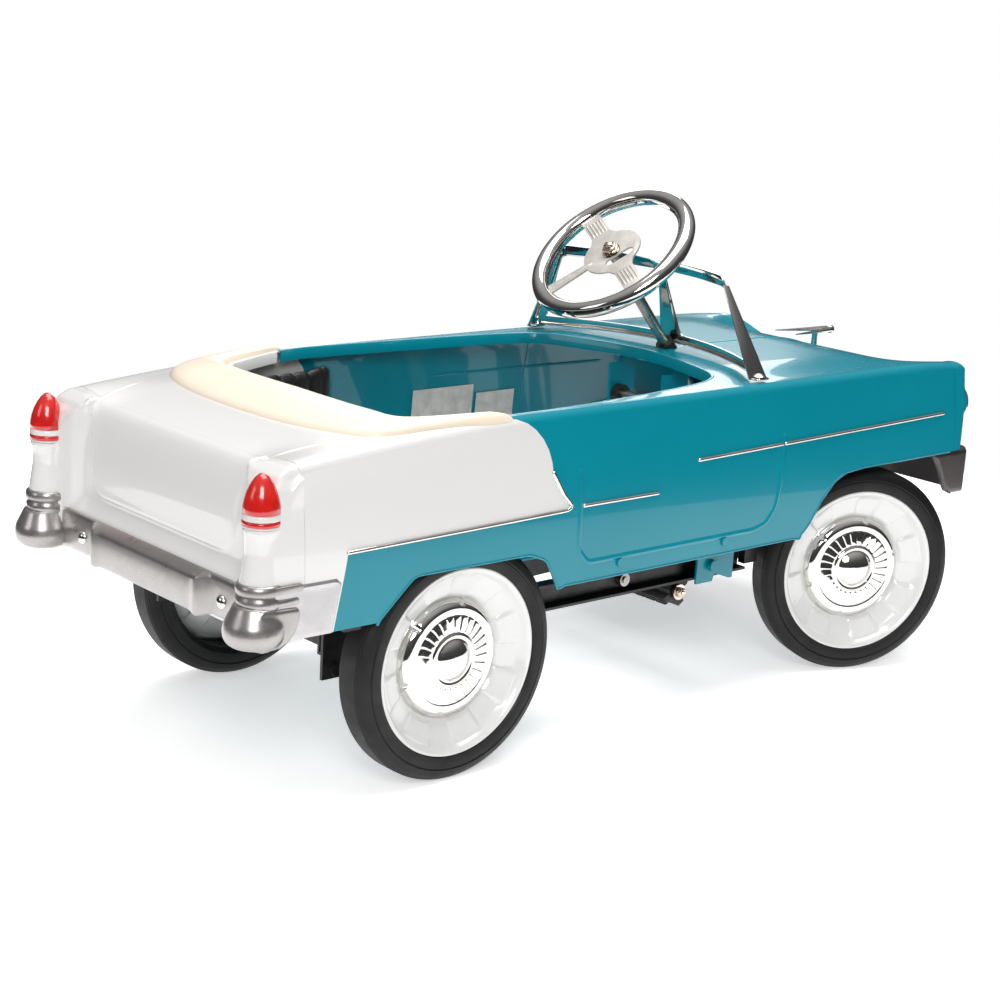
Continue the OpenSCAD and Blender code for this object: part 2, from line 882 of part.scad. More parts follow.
// Pressed wheel disc with its hub tube
module disc(bore) {
    color("#f4f4f2")
        difference() {
            union() {
                rotate_extrude($fn = 96)
                    polygon([[0, -4], [60, -4], [66, 0.5], [84, 7.5], [88, 9.5], [92, 13],
                        [93.5, 15.5], [93.9, 15.5], [93.9, 12], [91, 8], [88, 6.5], [84, 4.5],
                        [67, -2.5], [61, -7], [0, -7]]);
                difference() {
                    translate([0, 0, -14]) cylinder(h = 28, r = 93.9);
                    translate([0, 0, -15]) cylinder(h = 30, r = 91);
                }
                translate([0, 0, -14]) cylinder(h = 26, r = 13);
                for (i = [0:7])
                    rotate([0, 0, i * 45])
                        translate([68, -1.2, 0])
                            rotate([0, -22, 0])
                                cube([18, 2.4, 2.6]);
            }
            translate([0, 0, -20]) cylinder(h = 40, r = bore);
        }
}

// Pressed hubcap: outer roll, fluted ring and centre dome
module hubcap() {
    color("#d5d9dc")
        difference() {
            rotate_extrude($fn = 96)
                polygon([[0, 16], [10, 17.4], [18, 16.4], [23, 13], [26, 13.6], [29, 12],
                    [48, 9.5], [50, 9], [56, 8.4], [61, 5], [64, 0.4], [64, -0.7], [62, -2.1],
                    [59, 3.6], [55, 6.6], [48, 7.6], [28, 10.4], [22, 11.6], [17, 14.4],
                    [0, 14.4]]);
            for (i = [0:27])
                rotate([0, 0, i * 360 / 28])
                    translate([30, -0.7, 10.6]) rotate([0, 7.5, 0]) cube([17, 1.4, 3]);
        }
}

// ---------- drive ----------
// Axle with two throws half a turn apart; the right throw points back
module crank_axle() {
    inner = 12;
    outer = 35;
    web = 8;
    end = half_track + 13;
    color("#8f9194") {
        rod_y(0, tyre_r, -inner, inner, axle_r);
        for (side = [-1, 1]) {
            x = side * crank_throw;
            for (y = [inner, outer])
                link_xz([0, tyre_r], [x, tyre_r], 15, side * y - web / 2, side * y + web / 2);
            rod_y(x, tyre_r, side > 0 ? inner : -outer, side > 0 ? outer : -inner, axle_r);
            rod_y(0, tyre_r, side > 0 ? outer : -end, side > 0 ? end : -outer, axle_r);
        }
    }
}

// Flat rod from a crank pin to a pedal lever
module push_rod(side) {
    from = [side * crank_throw, tyre_r];
    to = [pivot_x + side * crank_throw, pivot_z - rod_pin_arm * cos(lever_swing)];
    mid = side * crank_y;
    color("#17181a")
        difference() {
            union() {
                link_xz(from, to, 20, mid - 2.5, mid + 2.5);
                rod_y(from[0], from[1], mid - 4, mid + 4, 12);
                rod_y(to[0], to[1], mid - 5, mid + 5, 7);
            }
            rod_y(from[0], from[1], mid - 10, mid + 10, axle_r + run_gap);
        }
}

// Pedal lever, hanging from the pivot rod and swung with its crank throw
module pedal_lever(side) {
    spindle_out = 127;
    color("#17181a")
        translate([pivot_x, 0, pivot_z])
            rotate([0, -side * lever_swing, 0]) {
                difference() {
                    union() {
                        link_xz([0, 0], [0, -pedal_arm], 24, side > 0 ? 31 : -36,
                            side > 0 ? 36 : -31);
                        rod_y(0, 0, side > 0 ? 31 : -41, side > 0 ? 41 : -31, 12);
                    }
                    rod_y(0, 0, -60, 60, 6 + run_gap);
                }
                rod_y(0, -pedal_arm, side > 0 ? 33 : -spindle_out,
                    side > 0 ? spindle_out : -33, 5);
                rod_y(0, -pedal_arm, side > 0 ? 124.4 : -129,
                    side > 0 ? 129 : -124.4, 9);
            }
}

// Ribbed block that turns on the lever's spindle
module pedal(side) {
    y0 = side > 0 ? 38 : -124;
    color("#1b1b1c")
        translate([pivot_x, 0, pivot_z])
            rotate([0, -side * lever_swing, 0])
                translate([0, 0, -pedal_arm])
                    difference() {
                        union() {
                            rod_y(0, 0, y0, y0 + 86, 13);
                            for (a = [45:90:315])
                                rotate([0, a, 0])
                                    translate([0, y0, -5]) cube([21, 86, 10]);
                        }
                        rod_y(0, 0, -140, 140, 5 + run_gap);
                        for (a = [45:90:315])
                            rotate([0, a, 0])
                                for (z = [-2.4, 1])
                                    translate([19.6, y0 - 1, z]) cube([2, 88, 1.4]);
                    }
}

module pedal_pivot_rod() {
    color("#8f9194") rod_y(pivot_x, pivot_z, -50, 50, 6);
}

// Straps that hold the pivot rod under the cowl
module pedal_hangers() {
    color("#0b6f80")
        mirrored()
            difference() {
                union() {
                    translate([pivot_x - 12, 43, pivot_z - 14]) cube([24, 4, 14]);
                    translate([pivot_x - 12, 43, pivot_z]) cube([42, 4, 38]);
                    translate([pivot_x + 4, 43, pivot_z + 30]) cube([26, 4, 29.4]);
                    translate([pivot_x + 4, 43, pivot_z + 56.4]) cube([26, 22, 3]);
                }
                rod_y(pivot_x, pivot_z, 40, 50, 6);
            }
}

// Screws through the sills into the cross members
module body_screws() {
    color("#0f8ea2")
        mirrored()
            for (x = [213, 377]) {
                rod_y(x, 204, 217.1, half_w(x) + 0.2, 2.5);
                rod_y(x, 204, half_w(x) + 0.2, half_w(x) + 2.4, 5);
            }
}

// Two blank stickers on the inside of the left side
module blank_labels() {
    color("#d2d6d8") {
        translate([274, 217.4, 262]) rotate([3.2, 0, 0]) cube([98, 0.5, 42]);
        translate([378, 217.8, 252]) rotate([3.2, 0, 0]) cube([64, 0.5, 40]);
    }
}

place() body_shell();
place() rear_deck_shell();
place() tail_panel();
place() nose_panel();
place() boot_cover();
place() seat_pan();
place() seat_back();
place() seat_cushion();
place() windshield_frame();
place() windshield_bolts();
place() hood_ornament();
place() quarter_trims();
place() door_trims();
place() fender_trims();
place() tail_lights();
place() rear_bumper();
place() bumper_guards();
place() bumper_screws();
place() front_bumper();
place() grille();
place() headlights();
place() chassis_rails();
place() cross_members();
place() rail_brackets();
place() rear_axle_bearings();
place() front_axle_beam();
place() kingpins();
place() rail_bolts();
place() column_bush();
place() column_pedestal();
place() pedal_hangers();
place() pedal_pivot_rod();
place() body_screws();
place() blank_labels();
place() knuckle(1);  // knuckle_left
place() knuckle(-1);  // knuckle_right
place() tie_rod();
place() steering_column();
place() steering_rim();
place() steering_spokes();
place() steering_nut();
place() crank_axle();
place() on_rear_wheel(1) tyre();  // rear_left_tyre
place() on_rear_wheel(1) disc(axle_r + run_gap);  // rear_left_disc
place() on_rear_wheel(1) hubcap();  // rear_left_hubcap
place() on_rear_wheel(-1) tyre();  // rear_right_tyre
place() on_rear_wheel(-1) disc(axle_r);  // rear_right_disc
place() on_rear_wheel(-1) hubcap();  // rear_right_hubcap
place() on_front_wheel(1) tyre();  // front_left_tyre
place() on_front_wheel(1) disc(axle_r + run_gap);  // front_left_disc
place() on_front_wheel(1) hubcap();  // front_left_hubcap
place() on_front_wheel(-1) tyre();  // front_right_tyre
place() on_front_wheel(-1) disc(axle_r + run_gap);  // front_right_disc
place() on_front_wheel(-1) hubcap();  // front_right_hubcap
place() push_rod(1);  // push_rod_left
place() push_rod(-1);  // push_rod_right
place() pedal_lever(1);  // pedal_lever_left
place() pedal_lever(-1);  // pedal_lever_right
place() pedal(1);  // pedal_left
place() pedal(-1);  // pedal_right
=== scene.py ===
"""Looks of a child's pedal car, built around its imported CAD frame.

Shapes are worked out in millimetres from the rear axle, as the car's own drawing is,
and to_frame() puts them into the frame in metres. +X is forward, +Y left, +Z up.
"""

import json
import math

import bmesh
import bpy
import numpy as np
from mathutils import Matrix, Vector


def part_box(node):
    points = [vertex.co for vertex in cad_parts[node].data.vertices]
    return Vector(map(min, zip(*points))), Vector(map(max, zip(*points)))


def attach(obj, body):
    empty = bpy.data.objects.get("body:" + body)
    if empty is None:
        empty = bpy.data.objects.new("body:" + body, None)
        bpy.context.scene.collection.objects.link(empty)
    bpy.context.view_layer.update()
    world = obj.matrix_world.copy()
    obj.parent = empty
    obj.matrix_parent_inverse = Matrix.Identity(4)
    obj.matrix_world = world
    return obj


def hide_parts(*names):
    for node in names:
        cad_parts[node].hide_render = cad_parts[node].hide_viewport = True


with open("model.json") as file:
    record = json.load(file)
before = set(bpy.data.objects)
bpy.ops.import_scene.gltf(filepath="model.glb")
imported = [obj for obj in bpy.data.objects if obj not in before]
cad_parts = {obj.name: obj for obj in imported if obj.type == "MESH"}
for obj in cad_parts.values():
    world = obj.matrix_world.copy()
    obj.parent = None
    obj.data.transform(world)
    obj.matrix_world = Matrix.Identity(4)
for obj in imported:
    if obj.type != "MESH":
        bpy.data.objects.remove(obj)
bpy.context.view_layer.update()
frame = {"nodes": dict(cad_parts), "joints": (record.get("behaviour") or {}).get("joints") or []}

MM = 0.001


def centre_of(node):
    low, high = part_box(node)
    return (low + high) / 2


AXLE_X = centre_of("rear_left_tyre").x
TAIL_SEAM = (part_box("rear_deck_shell")[0].x - AXLE_X) / MM
NOSE_SEAM = (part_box("body_shell")[1].x - AXLE_X) / MM
SILL_Z = 190
BELT_Z = 375
BODY_HALF_W = 222
SHEET = 1.5
RIDGE_SHEET = 0.8
SHOULDER_R = 11
SIDE_LEAN = 13
LEAN_FROM_Z = 235
LEAN_HEIGHT = 125
CROWN_REACH = 75


# ---------- arithmetic helpers ----------
def smooth_step(t):
    t = np.clip(t, 0, 1)
    return t * t * (3 - 2 * t)


def arc(centre, radii, start, end, count):
    """Points on an ellipse, with the angles in degrees."""
    angles = np.radians(np.linspace(start, end, count))
    return [(centre[0] + radii[0] * math.cos(a), centre[1] + radii[1] * math.sin(a)) for a in angles]


def rounded(corners, steps=6):
    """Closed outline through (x, y, radius) corners, each rounded by its radius."""
    outline = []
    for i, (x, y, radius) in enumerate(corners):
        here = Vector((x, y))
        before = Vector(corners[i - 1][:2]) - here
        after = Vector(corners[(i + 1) % len(corners)][:2]) - here
        reach = min(radius / max(math.tan(before.angle(after) / 2), 0.05), before.length / 2,
                    after.length / 2)
        start = here + before.normalized() * reach
        end = here + after.normalized() * reach
        for k in range(steps + 1):
            t = k / steps
            p = start * (1 - t) ** 2 + here * 2 * t * (1 - t) + end * t * t
            outline.append((p.x, p.y))
    return outline


def resample(points, spacing, closed=False):
    """Points along a polyline at an even spacing."""
    points = [np.array(p, float) for p in points]
    if closed:
        points.append(points[0])
    lengths = [np.linalg.norm(b - a) for a, b in zip(points, points[1:])]
    distance = np.concatenate([[0], np.cumsum(lengths)])
    count = max(2, int(round(distance[-1] / spacing)))
    wanted = np.linspace(0, distance[-1], count + 1)
    table = np.array(points)
    result = np.stack([np.interp(wanted, distance, table[:, k]) for k in range(table.shape[1])], axis=1)
    return result[:-1] if closed else result


def curve_through(points, per_span=8):
    """Smooth Catmull-Rom curve through a few points."""
    p = np.array(points, float)
    p = np.vstack([2 * p[0] - p[1], p, 2 * p[-1] - p[-2]])
    out = []
    for i in range(1, len(p) - 2):
        for t in np.arange(per_span) / per_span:
            a, b, c, d = p[i - 1], p[i], p[i + 1], p[i + 2]
            out.append(0.5 * (2 * b + (c - a) * t + (2 * a - 5 * b + 4 * c - d) * t ** 2
                              + (3 * b - a - 3 * c + d) * t ** 3))
    out.append(p[-2])
    return np.array(out)


def to_frame(points):
    """Millimetres from the rear axle to metres in the car's frame."""
    points = np.array(points, float) * MM
    points[:, 0] += AXLE_X
    return points


# ---------- mesh helpers ----------
def grid_faces(rows, cols, close_cols=False, close_rows=False):
    """Quads between the neighbouring points of a grid of rows x cols points."""
    faces = []
    for i in range(rows if close_rows else rows - 1):
        for j in range(cols if close_cols else cols - 1):
            k, m = (j + 1) % cols, (i + 1) % rows
            faces.append((i * cols + j, i * cols + k, m * cols + k, m * cols + j))
    return faces


def tube_faces(rows, cols):
    """Faces of a tube of rings, with one face over each end."""
    ends = [tuple(range(cols)), tuple(range((rows - 1) * cols, rows * cols))]
    return grid_faces(rows, cols, close_cols=True) + ends


def slab(points, rows, cols, drop):
    """Closed thin slab: a grid of points over a copy of it moved by drop."""
    top = [tuple(p) for p in points]
    under = [tuple(np.array(p) + np.array(drop)) for p in top]
    count = rows * cols
    faces = grid_faces(rows, cols)
    faces += [tuple(i + count for i in face[::-1]) for face in grid_faces(rows, cols)]
    border = list(range(cols)) + [i * cols + cols - 1 for i in range(1, rows)]
    border += [(rows - 1) * cols + j for j in range(cols - 2, -1, -1)] + [i * cols
                                                                          for i in range(rows - 2, 0, -1)]
    faces += [(a, b, b + count, a + count) for a, b in zip(border, border[1:] + border[:1])]
    return top + under, faces


def raw_object(name, points, faces, matrix=None):
    """Object from points in millimetres: from the rear axle, or in the frame of a matrix."""
    mesh = bpy.data.meshes.new(name)
    placed = to_frame(points) if matrix is None else np.array(points, float) * MM
    mesh.from_pydata([tuple(p) for p in placed], [], faces)
    if matrix is not None:
        mesh.transform(matrix)
    mesh.validate()
    made = bmesh.new()
    made.from_mesh(mesh)
    bmesh.ops.remove_doubles(made, verts=made.verts, dist=1e-6)
    bmesh.ops.recalc_face_normals(made, faces=made.faces)
    made.to_mesh(mesh)
    made.free()
    obj = bpy.data.objects.new(name, mesh)
    bpy.context.scene.collection.objects.link(obj)
    return obj


def apply_modifiers(obj):
    graph = bpy.context.evaluated_depsgraph_get()
    graph.update()
    mesh = bpy.data.meshes.new_from_object(obj.evaluated_get(graph))
    obj.modifiers.clear()
    obj.data = mesh
    return obj


def boolean(obj, cutter, operation="DIFFERENCE"):
    """Cuts, adds or crosses an object with a cutter, which is used up."""
    modifier = obj.modifiers.new("cut", "BOOLEAN")
    modifier.operation = operation
    modifier.solver = "EXACT"
    modifier.object = cutter
    apply_modifiers(obj)
    bpy.data.objects.remove(cutter)
    return obj


def prism(outline, low, high, axis):
    """Closed prism along an axis, on an outline given in the other two coordinates."""
    count = len(outline)
    place = {"y": lambda p, h: (p[0], h, p[1]), "z": lambda p, h: (p[0], p[1], h),
             "x": lambda p, h: (h, p[0], p[1])}[axis]
    points = [place(p, low) for p in outline] + [place(p, high) for p in outline]
    faces = [(i, (i + 1) % count, count + (i + 1) % count, count + i) for i in range(count)]
    faces += [tuple(range(count)), tuple(reversed(range(count, 2 * count)))]
    return raw_object("cutter", points, faces)


def plate_object(outline, low, high, at):
    """Flat plate on an outline of (x, y) points, in the frame of a matrix."""
    points = [(x, y, z) for z in (low, high) for x, y in outline]
    return raw_object("plate", points, tube_faces(2, len(outline)), at)


def upright(x, y, z=0):
    """Frame at a place in millimetres from the rear axle, with its axes along the car's."""
    return Matrix.Translation(Vector((AXLE_X + x * MM, y * MM, z * MM)))


def axes_at(place, x_axis, y_axis, z_axis):
    """Frame at a place in metres, with its axes along three directions."""
    return Matrix.Translation(place) @ Matrix((x_axis, y_axis, z_axis)).transposed().to_4x4()


def joint_axis(key, value):
    """Direction of the joint that has this value under this key."""
    return Vector(next(joint for joint in frame["joints"] if joint[key] == value)["axis"])


def join(objects):
    """All objects as one, in the first one's place."""
    made = bmesh.new()
    for o in objects:
        made.from_mesh(o.data)
    made.to_mesh(objects[0].data)
    made.free()
    for o in objects[1:]:
        bpy.data.objects.remove(o)
    return objects[0]


def soften(obj, angle=35):
    """Smooth shading, with an edge kept where faces meet at more than the angle."""
    obj.data.shade_smooth()
    obj.data.set_sharp_from_angle(angle=math.radians(angle))


def bevel_edges(obj, width, angle=35, segments=2):
    modifier = obj.modifiers.new("edge", "BEVEL")
    modifier.width = width * MM
    modifier.segments = segments
    modifier.limit_method = "ANGLE"
    modifier.angle_limit = math.radians(angle)
    apply_modifiers(obj)


def subdivide(obj, levels=1):
    modifier = obj.modifiers.new("round", "SUBSURF")
    modifier.levels = levels
    modifier.render_levels = levels
    apply_modifiers(obj)


def piece(obj, name, material, body="chassis", stands_for=(), angle=35):
    """Finishes an object as a named piece of the car."""
    obj.name = name
    obj.data.name = name
    obj.data.materials.clear()
    obj.data.materials.append(material)
    soften(obj, angle)
    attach(obj, body)
    if stands_for:
        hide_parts(*stands_for)
    return obj


def lathe(profile, segments=96, matrix=None, closed=False):
    """Surface of revolution round local Z through (radius, height) points."""
    points = []
    for k in range(segments):
        a = 2 * math.pi * k / segments
        points += [(r * math.cos(a), r * math.sin(a), z) for r, z in profile]
    faces = grid_faces(segments, len(profile), close_cols=closed, close_rows=True)
    return raw_object("lathe", points, faces, matrix)


def sweep(path, section, up=(0, 0, 1), scale=None):
    """Closed section, as (side, up) points, carried along an open path."""
    path = np.array(path, float)
    count = len(path)
    points = []
    for i, p in enumerate(path):
        along = path[min(i + 1, count - 1)] - path[max(i - 1, 0)]
        along /= np.linalg.norm(along)
        side = np.cross(along, np.array(up, float))
        side /= np.linalg.norm(side)
        rise = np.cross(side, along)
        s = 1 if scale is None else scale[i]
        points += [tuple(p + s * (a * side + b * rise)) for a, b in section]
    return raw_object("sweep", points, tube_faces(count, len(section)))


def disc_section(radius, count=10):
    return [(radius * math.cos(a), radius * math.sin(a))
            for a in np.linspace(0, 2 * math.pi, count, endpoint=False)]


def round_ends(path, radius, steps=4):
    """A path with extra end points, and the scales that close a tube over it as round ends."""
    path = np.array(path, float)
    first = (path[0] - path[1]) / np.linalg.norm(path[0] - path[1])
    last = (path[-1] - path[-2]) / np.linalg.norm(path[-1] - path[-2])
    angles = np.linspace(0, math.pi / 2, steps + 1)[1:]
    head = [path[0] + first * radius * math.sin(a) * 0.98 for a in angles][::-1]
    tail = [path[-1] + last * radius * math.sin(a) * 0.98 for a in angles]
    sizes = [max(math.cos(a), 0.12) for a in angles]
    return np.vstack([head, path, tail]), sizes[::-1] + [1] * len(path) + sizes


# ---------- the body's surface ----------
def ridge_z(x):
    """Height of the fender ridge."""
    if x < 100:
        return BELT_Z - 20 * ((100 - x) / 300) ** 1.6
    return BELT_Z if x < 700 else BELT_Z - 4 * ((x - 700) / 100) ** 2


def half_w(x):
    return BODY_HALF_W - 4 * ((x - 300) / 500) ** 2


def mid_z(x):
    """Height of the deck or hood on the centre line."""
    top = ridge_z(x) + 4
    if x < -80:
        return top - 12 * ((-80 - x) / 120) ** 2
    return top if x < 660 else top - 30 * ((x - 660) / 140) ** 2


def side_y(x, z):
    return half_w(x) - SIDE_LEAN * (max(0, z - LEAN_FROM_Z) / LEAN_HEIGHT) ** 2


def deck_z(x, y):
    flat = half_w(x) - SIDE_LEAN - SHOULDER_R
    rise = smooth_step((flat - abs(y)) / CROWN_REACH)
    drop = max(0, abs(y) - flat)
    edge = SHOULDER_R - math.sqrt(max(0, SHOULDER_R ** 2 - min(drop, SHOULDER_R) ** 2))
    return ridge_z(x) + (mid_z(x) - ridge_z(x)) * rise - edge


def section(x, inset=0.0, low=SILL_Z):
    """Open cross-section of the body from the left sill over the deck to the right sill."""
    width, ridge, mid = half_w(x) - inset, ridge_z(x) - inset, mid_z(x) - inset
    cy, cz = width - SIDE_LEAN - SHOULDER_R, ridge - SHOULDER_R
    half = [(width - SIDE_LEAN * (max(0, z - LEAN_FROM_Z) / LEAN_HEIGHT) ** 2, z)
            for z in np.linspace(low, cz, 20)[:-1]]
    half += arc((cy, cz), (SHOULDER_R, SHOULDER_R), 0, 90, 8)
    for y in np.linspace(cy, 0, 22)[1:]:
        half.append((y, ridge + (mid - ridge) * float(smooth_step((cy - y) / CROWN_REACH))))
    return half + [(-y, z) for y, z in half[-2::-1]]


def body_skin(x0, x1, spacing=9.0):
    """The body's sheet between two places as a closed shell."""
    stations = np.linspace(x0, x1, int((x1 - x0) / spacing) + 1)
    rings = []
    for x in stations:
        outer, inner = section(x), section(x, SHEET)
        rings.append([(x, y, z) for y, z in outer + inner[::-1]])
    cols = len(rings[0])
    points = [p for ring in rings for p in ring]
    faces = grid_faces(len(rings), cols, close_cols=True)
    for end in (0, (len(rings) - 1) * cols):
        half = cols // 2
        faces += [(end + j, end + j + 1, end + cols - 2 - j, end + cols - 1 - j) for j in range(half - 1)]
    return raw_object("skin", points, faces)


WHITE_EDGE = [(-165, 160), (-165, 190), (-150, 266), (137, 272), (112, 313)]
WHITE_EDGE += arc((54, 313), (58, 60), 10, 90, 7)
WHITE_AREA = [(-400, 160)] + WHITE_EDGE + [(54, 500), (-400, 500)]
REAR_ARCH = rounded([(-113, 150, 0), (-113, 189, 12), (-92, 209, 16), (-68, 231, 18), (82, 231, 16),
                     (106, 222, 16), (124, 189, 14), (130, 150, 0)])
FRONT_ARCH = rounded([(507, 150, 0), (509, 192, 14), (523, 203, 12), (543, 231, 20), (565, 251.5, 24),
                      (585, 259.5, 20), (620, 262, 16), (900, 262, 0), (900, 150, 0)])
COCKPIT_HALF = [(-44, 128), (-32, 158), (-8, 171), (78, 195), (240, 186), (354, 172), (400, 158),
                (420, 138), (440, 80), (452, 36), (457, 0)]


def cockpit_outline():
    half = curve_through([(-46, 100)] + COCKPIT_HALF, 6)
    half = [tuple(p) for p in half]
    return half + [(x, -y) for x, y in half[-2::-1]]


# ---------- materials ----------
def blank_material(name):
    material = bpy.data.materials.new(name)
    material.use_nodes = True
    nodes = material.node_tree.nodes
    nodes.clear()
    out = nodes.new("ShaderNodeOutputMaterial")
    shader = nodes.new("ShaderNodeBsdfPrincipled")
    material.node_tree.links.new(shader.outputs["BSDF"], out.inputs["Surface"])
    return material, material.node_tree, shader


def linear(rgb):
    """sRGB 0..255 to linear."""
    c = [v / 255 for v in rgb]
    return [v / 12.92 if v <= 0.04045 else ((v + 0.055) / 1.055) ** 2.4 for v in c] + [1.0]


def noise(tree, scale, detail=4.0, stretch=(1, 1, 1)):
    """Noise over the car's own coordinates."""
    place = tree.nodes.new("ShaderNodeTexCoord")
    mapping = tree.nodes.new("ShaderNodeMapping")
    mapping.inputs["Scale"].default_value = stretch
    texture = tree.nodes.new("ShaderNodeTexNoise")
    texture.inputs["Scale"].default_value = scale
    texture.inputs["Detail"].default_value = detail
    tree.links.new(place.outputs["Object"], mapping.inputs["Vector"])
    tree.links.new(mapping.outputs["Vector"], texture.inputs["Vector"])
    return texture.outputs["Fac"]


def vary(tree, source, low, high, target):
    """Drives a number socket between two values."""
    spread = tree.nodes.new("ShaderNodeMapRange")
    spread.inputs["From Min"].default_value = 0.3
    spread.inputs["From Max"].default_value = 0.7
    spread.inputs["To Min"].default_value = low
    spread.inputs["To Max"].default_value = high
    tree.links.new(source, spread.inputs["Value"])
    tree.links.new(spread.outputs["Result"], target)


def two_tone(tree, source, dark, light, target, span=(0.35, 0.65)):
    """Drives a colour socket between two colours."""
    ramp = tree.nodes.new("ShaderNodeValToRGB")
    ramp.color_ramp.elements[0].position = span[0]
    ramp.color_ramp.elements[1].position = span[1]
    ramp.color_ramp.elements[0].color = linear(dark)
    ramp.color_ramp.elements[1].color = linear(light)
    tree.links.new(source, ramp.inputs["Fac"])
    tree.links.new(ramp.outputs["Color"], target)


def bump(tree, shader, source, strength, distance):
    node = tree.nodes.new("ShaderNodeBump")
    node.inputs["Strength"].default_value = strength
    node.inputs["Distance"].default_value = distance * MM
    tree.links.new(source, node.inputs["Height"])
    tree.links.new(node.outputs["Normal"], shader.inputs["Normal"])


def surface(name, tone, gloss, relief, sockets, span=(0.35, 0.65)):
    """Material whose colour, roughness and relief each follow a noise over the car.

    tone, gloss and relief start with the arguments of their noise, and sockets holds constants.
    """
    material, tree, shader = blank_material(name)
    two_tone(tree, noise(tree, *tone[0]), tone[1], tone[2], shader.inputs["Base Color"], span)
    vary(tree, noise(tree, *gloss[0]), gloss[1], gloss[2], shader.inputs["Roughness"])
    if relief:
        bump(tree, shader, noise(tree, *relief[0]), relief[1], relief[2])
    for socket, value in sockets.items():
        shader.inputs[socket].default_value = value
    return material


def enamel(name, dark, light, rough=(0.2, 0.3), coat=0.8, peel=0.02, shine=0.5):
    """Gloss enamel: faint colour drift, orange peel and a clear coat."""
    return surface(name, ((4,), dark, light), ((30,), *rough), ((150, 2), peel, 0.2),
                   {"Specular IOR Level": shine, "Coat Weight": coat, "Coat Roughness": 0.03})


def chrome(name, tint=(226, 224, 220), rough=(0.035, 0.09)):
    """Bright plate with light polishing haze."""
    return surface(name, ((30,), [c - 14 for c in tint], tint), ((120, 6), *rough), ((70, 2), 0.03, 0.3),
                   {"Metallic": 1.0})


def silver_paint(name, dark, light, rough=(0.26, 0.38)):
    """Metallic paint with fine flake."""
    return surface(name, ((1500, 1), dark, light), ((60,), *rough), ((1800, 1), 0.03, 0.05),
                   {"Metallic": 0.85, "Coat Weight": 0.35, "Coat Roughness": 0.12}, span=(0.3, 0.7))


def red_lens(name):
    """Moulded red plastic under a clear surface."""
    return surface(name, ((60,), (198, 22, 18), (214, 32, 26)), ((90,), 0.16, 0.26), ((220, 2), 0.06, 0.3),
                   {"Coat Weight": 1.0, "Coat Roughness": 0.05, "Subsurface Weight": 0.15,
                    "Subsurface Radius": (0.01, 0.002, 0.001)})


def rubber(name):
    """Tyre rubber: matt, a little dusty, finely pitted."""
    return surface(name, ((24, 6), (8, 8, 8), (15, 14, 13)), ((50,), 0.42, 0.58), ((900, 3), 0.25, 0.25),
                   {"Specular IOR Level": 0.35})


def vinyl(name, dark, light, rough=(0.34, 0.46), grain=0.35):
    """Upholstery vinyl: cell grain over a soft sheen."""
    material = surface(name, ((18,), dark, light), ((70,), *rough), None, {})
    tree = material.node_tree
    place = tree.nodes.new("ShaderNodeTexCoord")
    cells = tree.nodes.new("ShaderNodeTexVoronoi")
    cells.inputs["Scale"].default_value = 750
    tree.links.new(place.outputs["Object"], cells.inputs["Vector"])
    bump(tree, tree.nodes["Principled BSDF"], cells.outputs["Distance"], grain, 0.3)
    return material


def satin_steel(name, dark, light, rough, metallic=0.0, grain=0.15):
    """Painted or plain steel: faint mottling and a fine tooth."""
    return surface(name, ((45, 6), dark, light), ((90,), *rough), ((700, 3), grain, 0.2),
                   {"Metallic": metallic})


def clear_lamp(name):
    """Silvered lamp behind a fluted clear lens."""
    return surface(name, ((120,), (206, 212, 214), (232, 236, 238)), ((100,), 0.05, 0.12),
                   ((300, 1, (1, 1, 0.1)), 0.3, 0.6), {"Metallic": 0.6, "Coat Weight": 1.0})


def paper(name):
    """Blank sticker with faint grey smudges."""
    return surface(name, ((70, 6), (196, 196, 192), (222, 221, 216)), ((200,), 0.5, 0.65),
                   ((500, 3), 0.1, 0.1), {})


TEAL = enamel("teal_enamel", (0, 132, 150), (2, 136, 154), rough=(0.22, 0.26), coat=0.4, shine=0.25,
              peel=0.006)
WHITE = enamel("white_enamel", (228, 227, 225), (229, 228, 226), rough=(0.22, 0.24), peel=0.004)
CREAM = enamel("cream_vinyl", (238, 224, 203), (243, 230, 210), rough=(0.36, 0.46), coat=0.25, peel=0.12)
BLACK_VINYL = vinyl("black_vinyl", (17, 16, 16), (30, 28, 28))
CHROME = chrome("chrome_plate")
NUT_PLATE = chrome("plated_nut", (214, 198, 184), (0.06, 0.14))
SILVER = silver_paint("silver_paint", (158, 154, 152), (178, 174, 172))
# Same silver paint as the rear bumper and guards, darkened as painted shade for the front bumper.
SHADED_SILVER = silver_paint("shaded_silver_paint", (84, 79, 79), (98, 93, 92), (0.3, 0.4))
SIDE_SILVER = silver_paint("side_silver_paint", (182, 179, 180), (200, 197, 198), (0.3, 0.42))
SPOKE_SILVER = satin_steel("spoke_silver", (198, 192, 186), (214, 209, 202), (0.3, 0.4), 0.35)
RED = red_lens("red_lens")
LAMP = clear_lamp("clear_lamp")
RUBBER = rubber("tyre_rubber")
WHEEL_WHITE = enamel("wheel_white", (218, 218, 216), (226, 226, 224), rough=(0.18, 0.26))
BLACK_STEEL = satin_steel("black_steel", (16, 16, 17), (30, 30, 31), (0.34, 0.5))
PLAIN_STEEL = satin_steel("plain_steel", (150, 146, 140), (186, 182, 175), (0.24, 0.4), 1.0)
PEDAL_RUBBER = satin_steel("pedal_rubber", (20, 20, 20), (36, 35, 34), (0.4, 0.55), 0.0, 0.3)
LABEL = paper("blank_label")


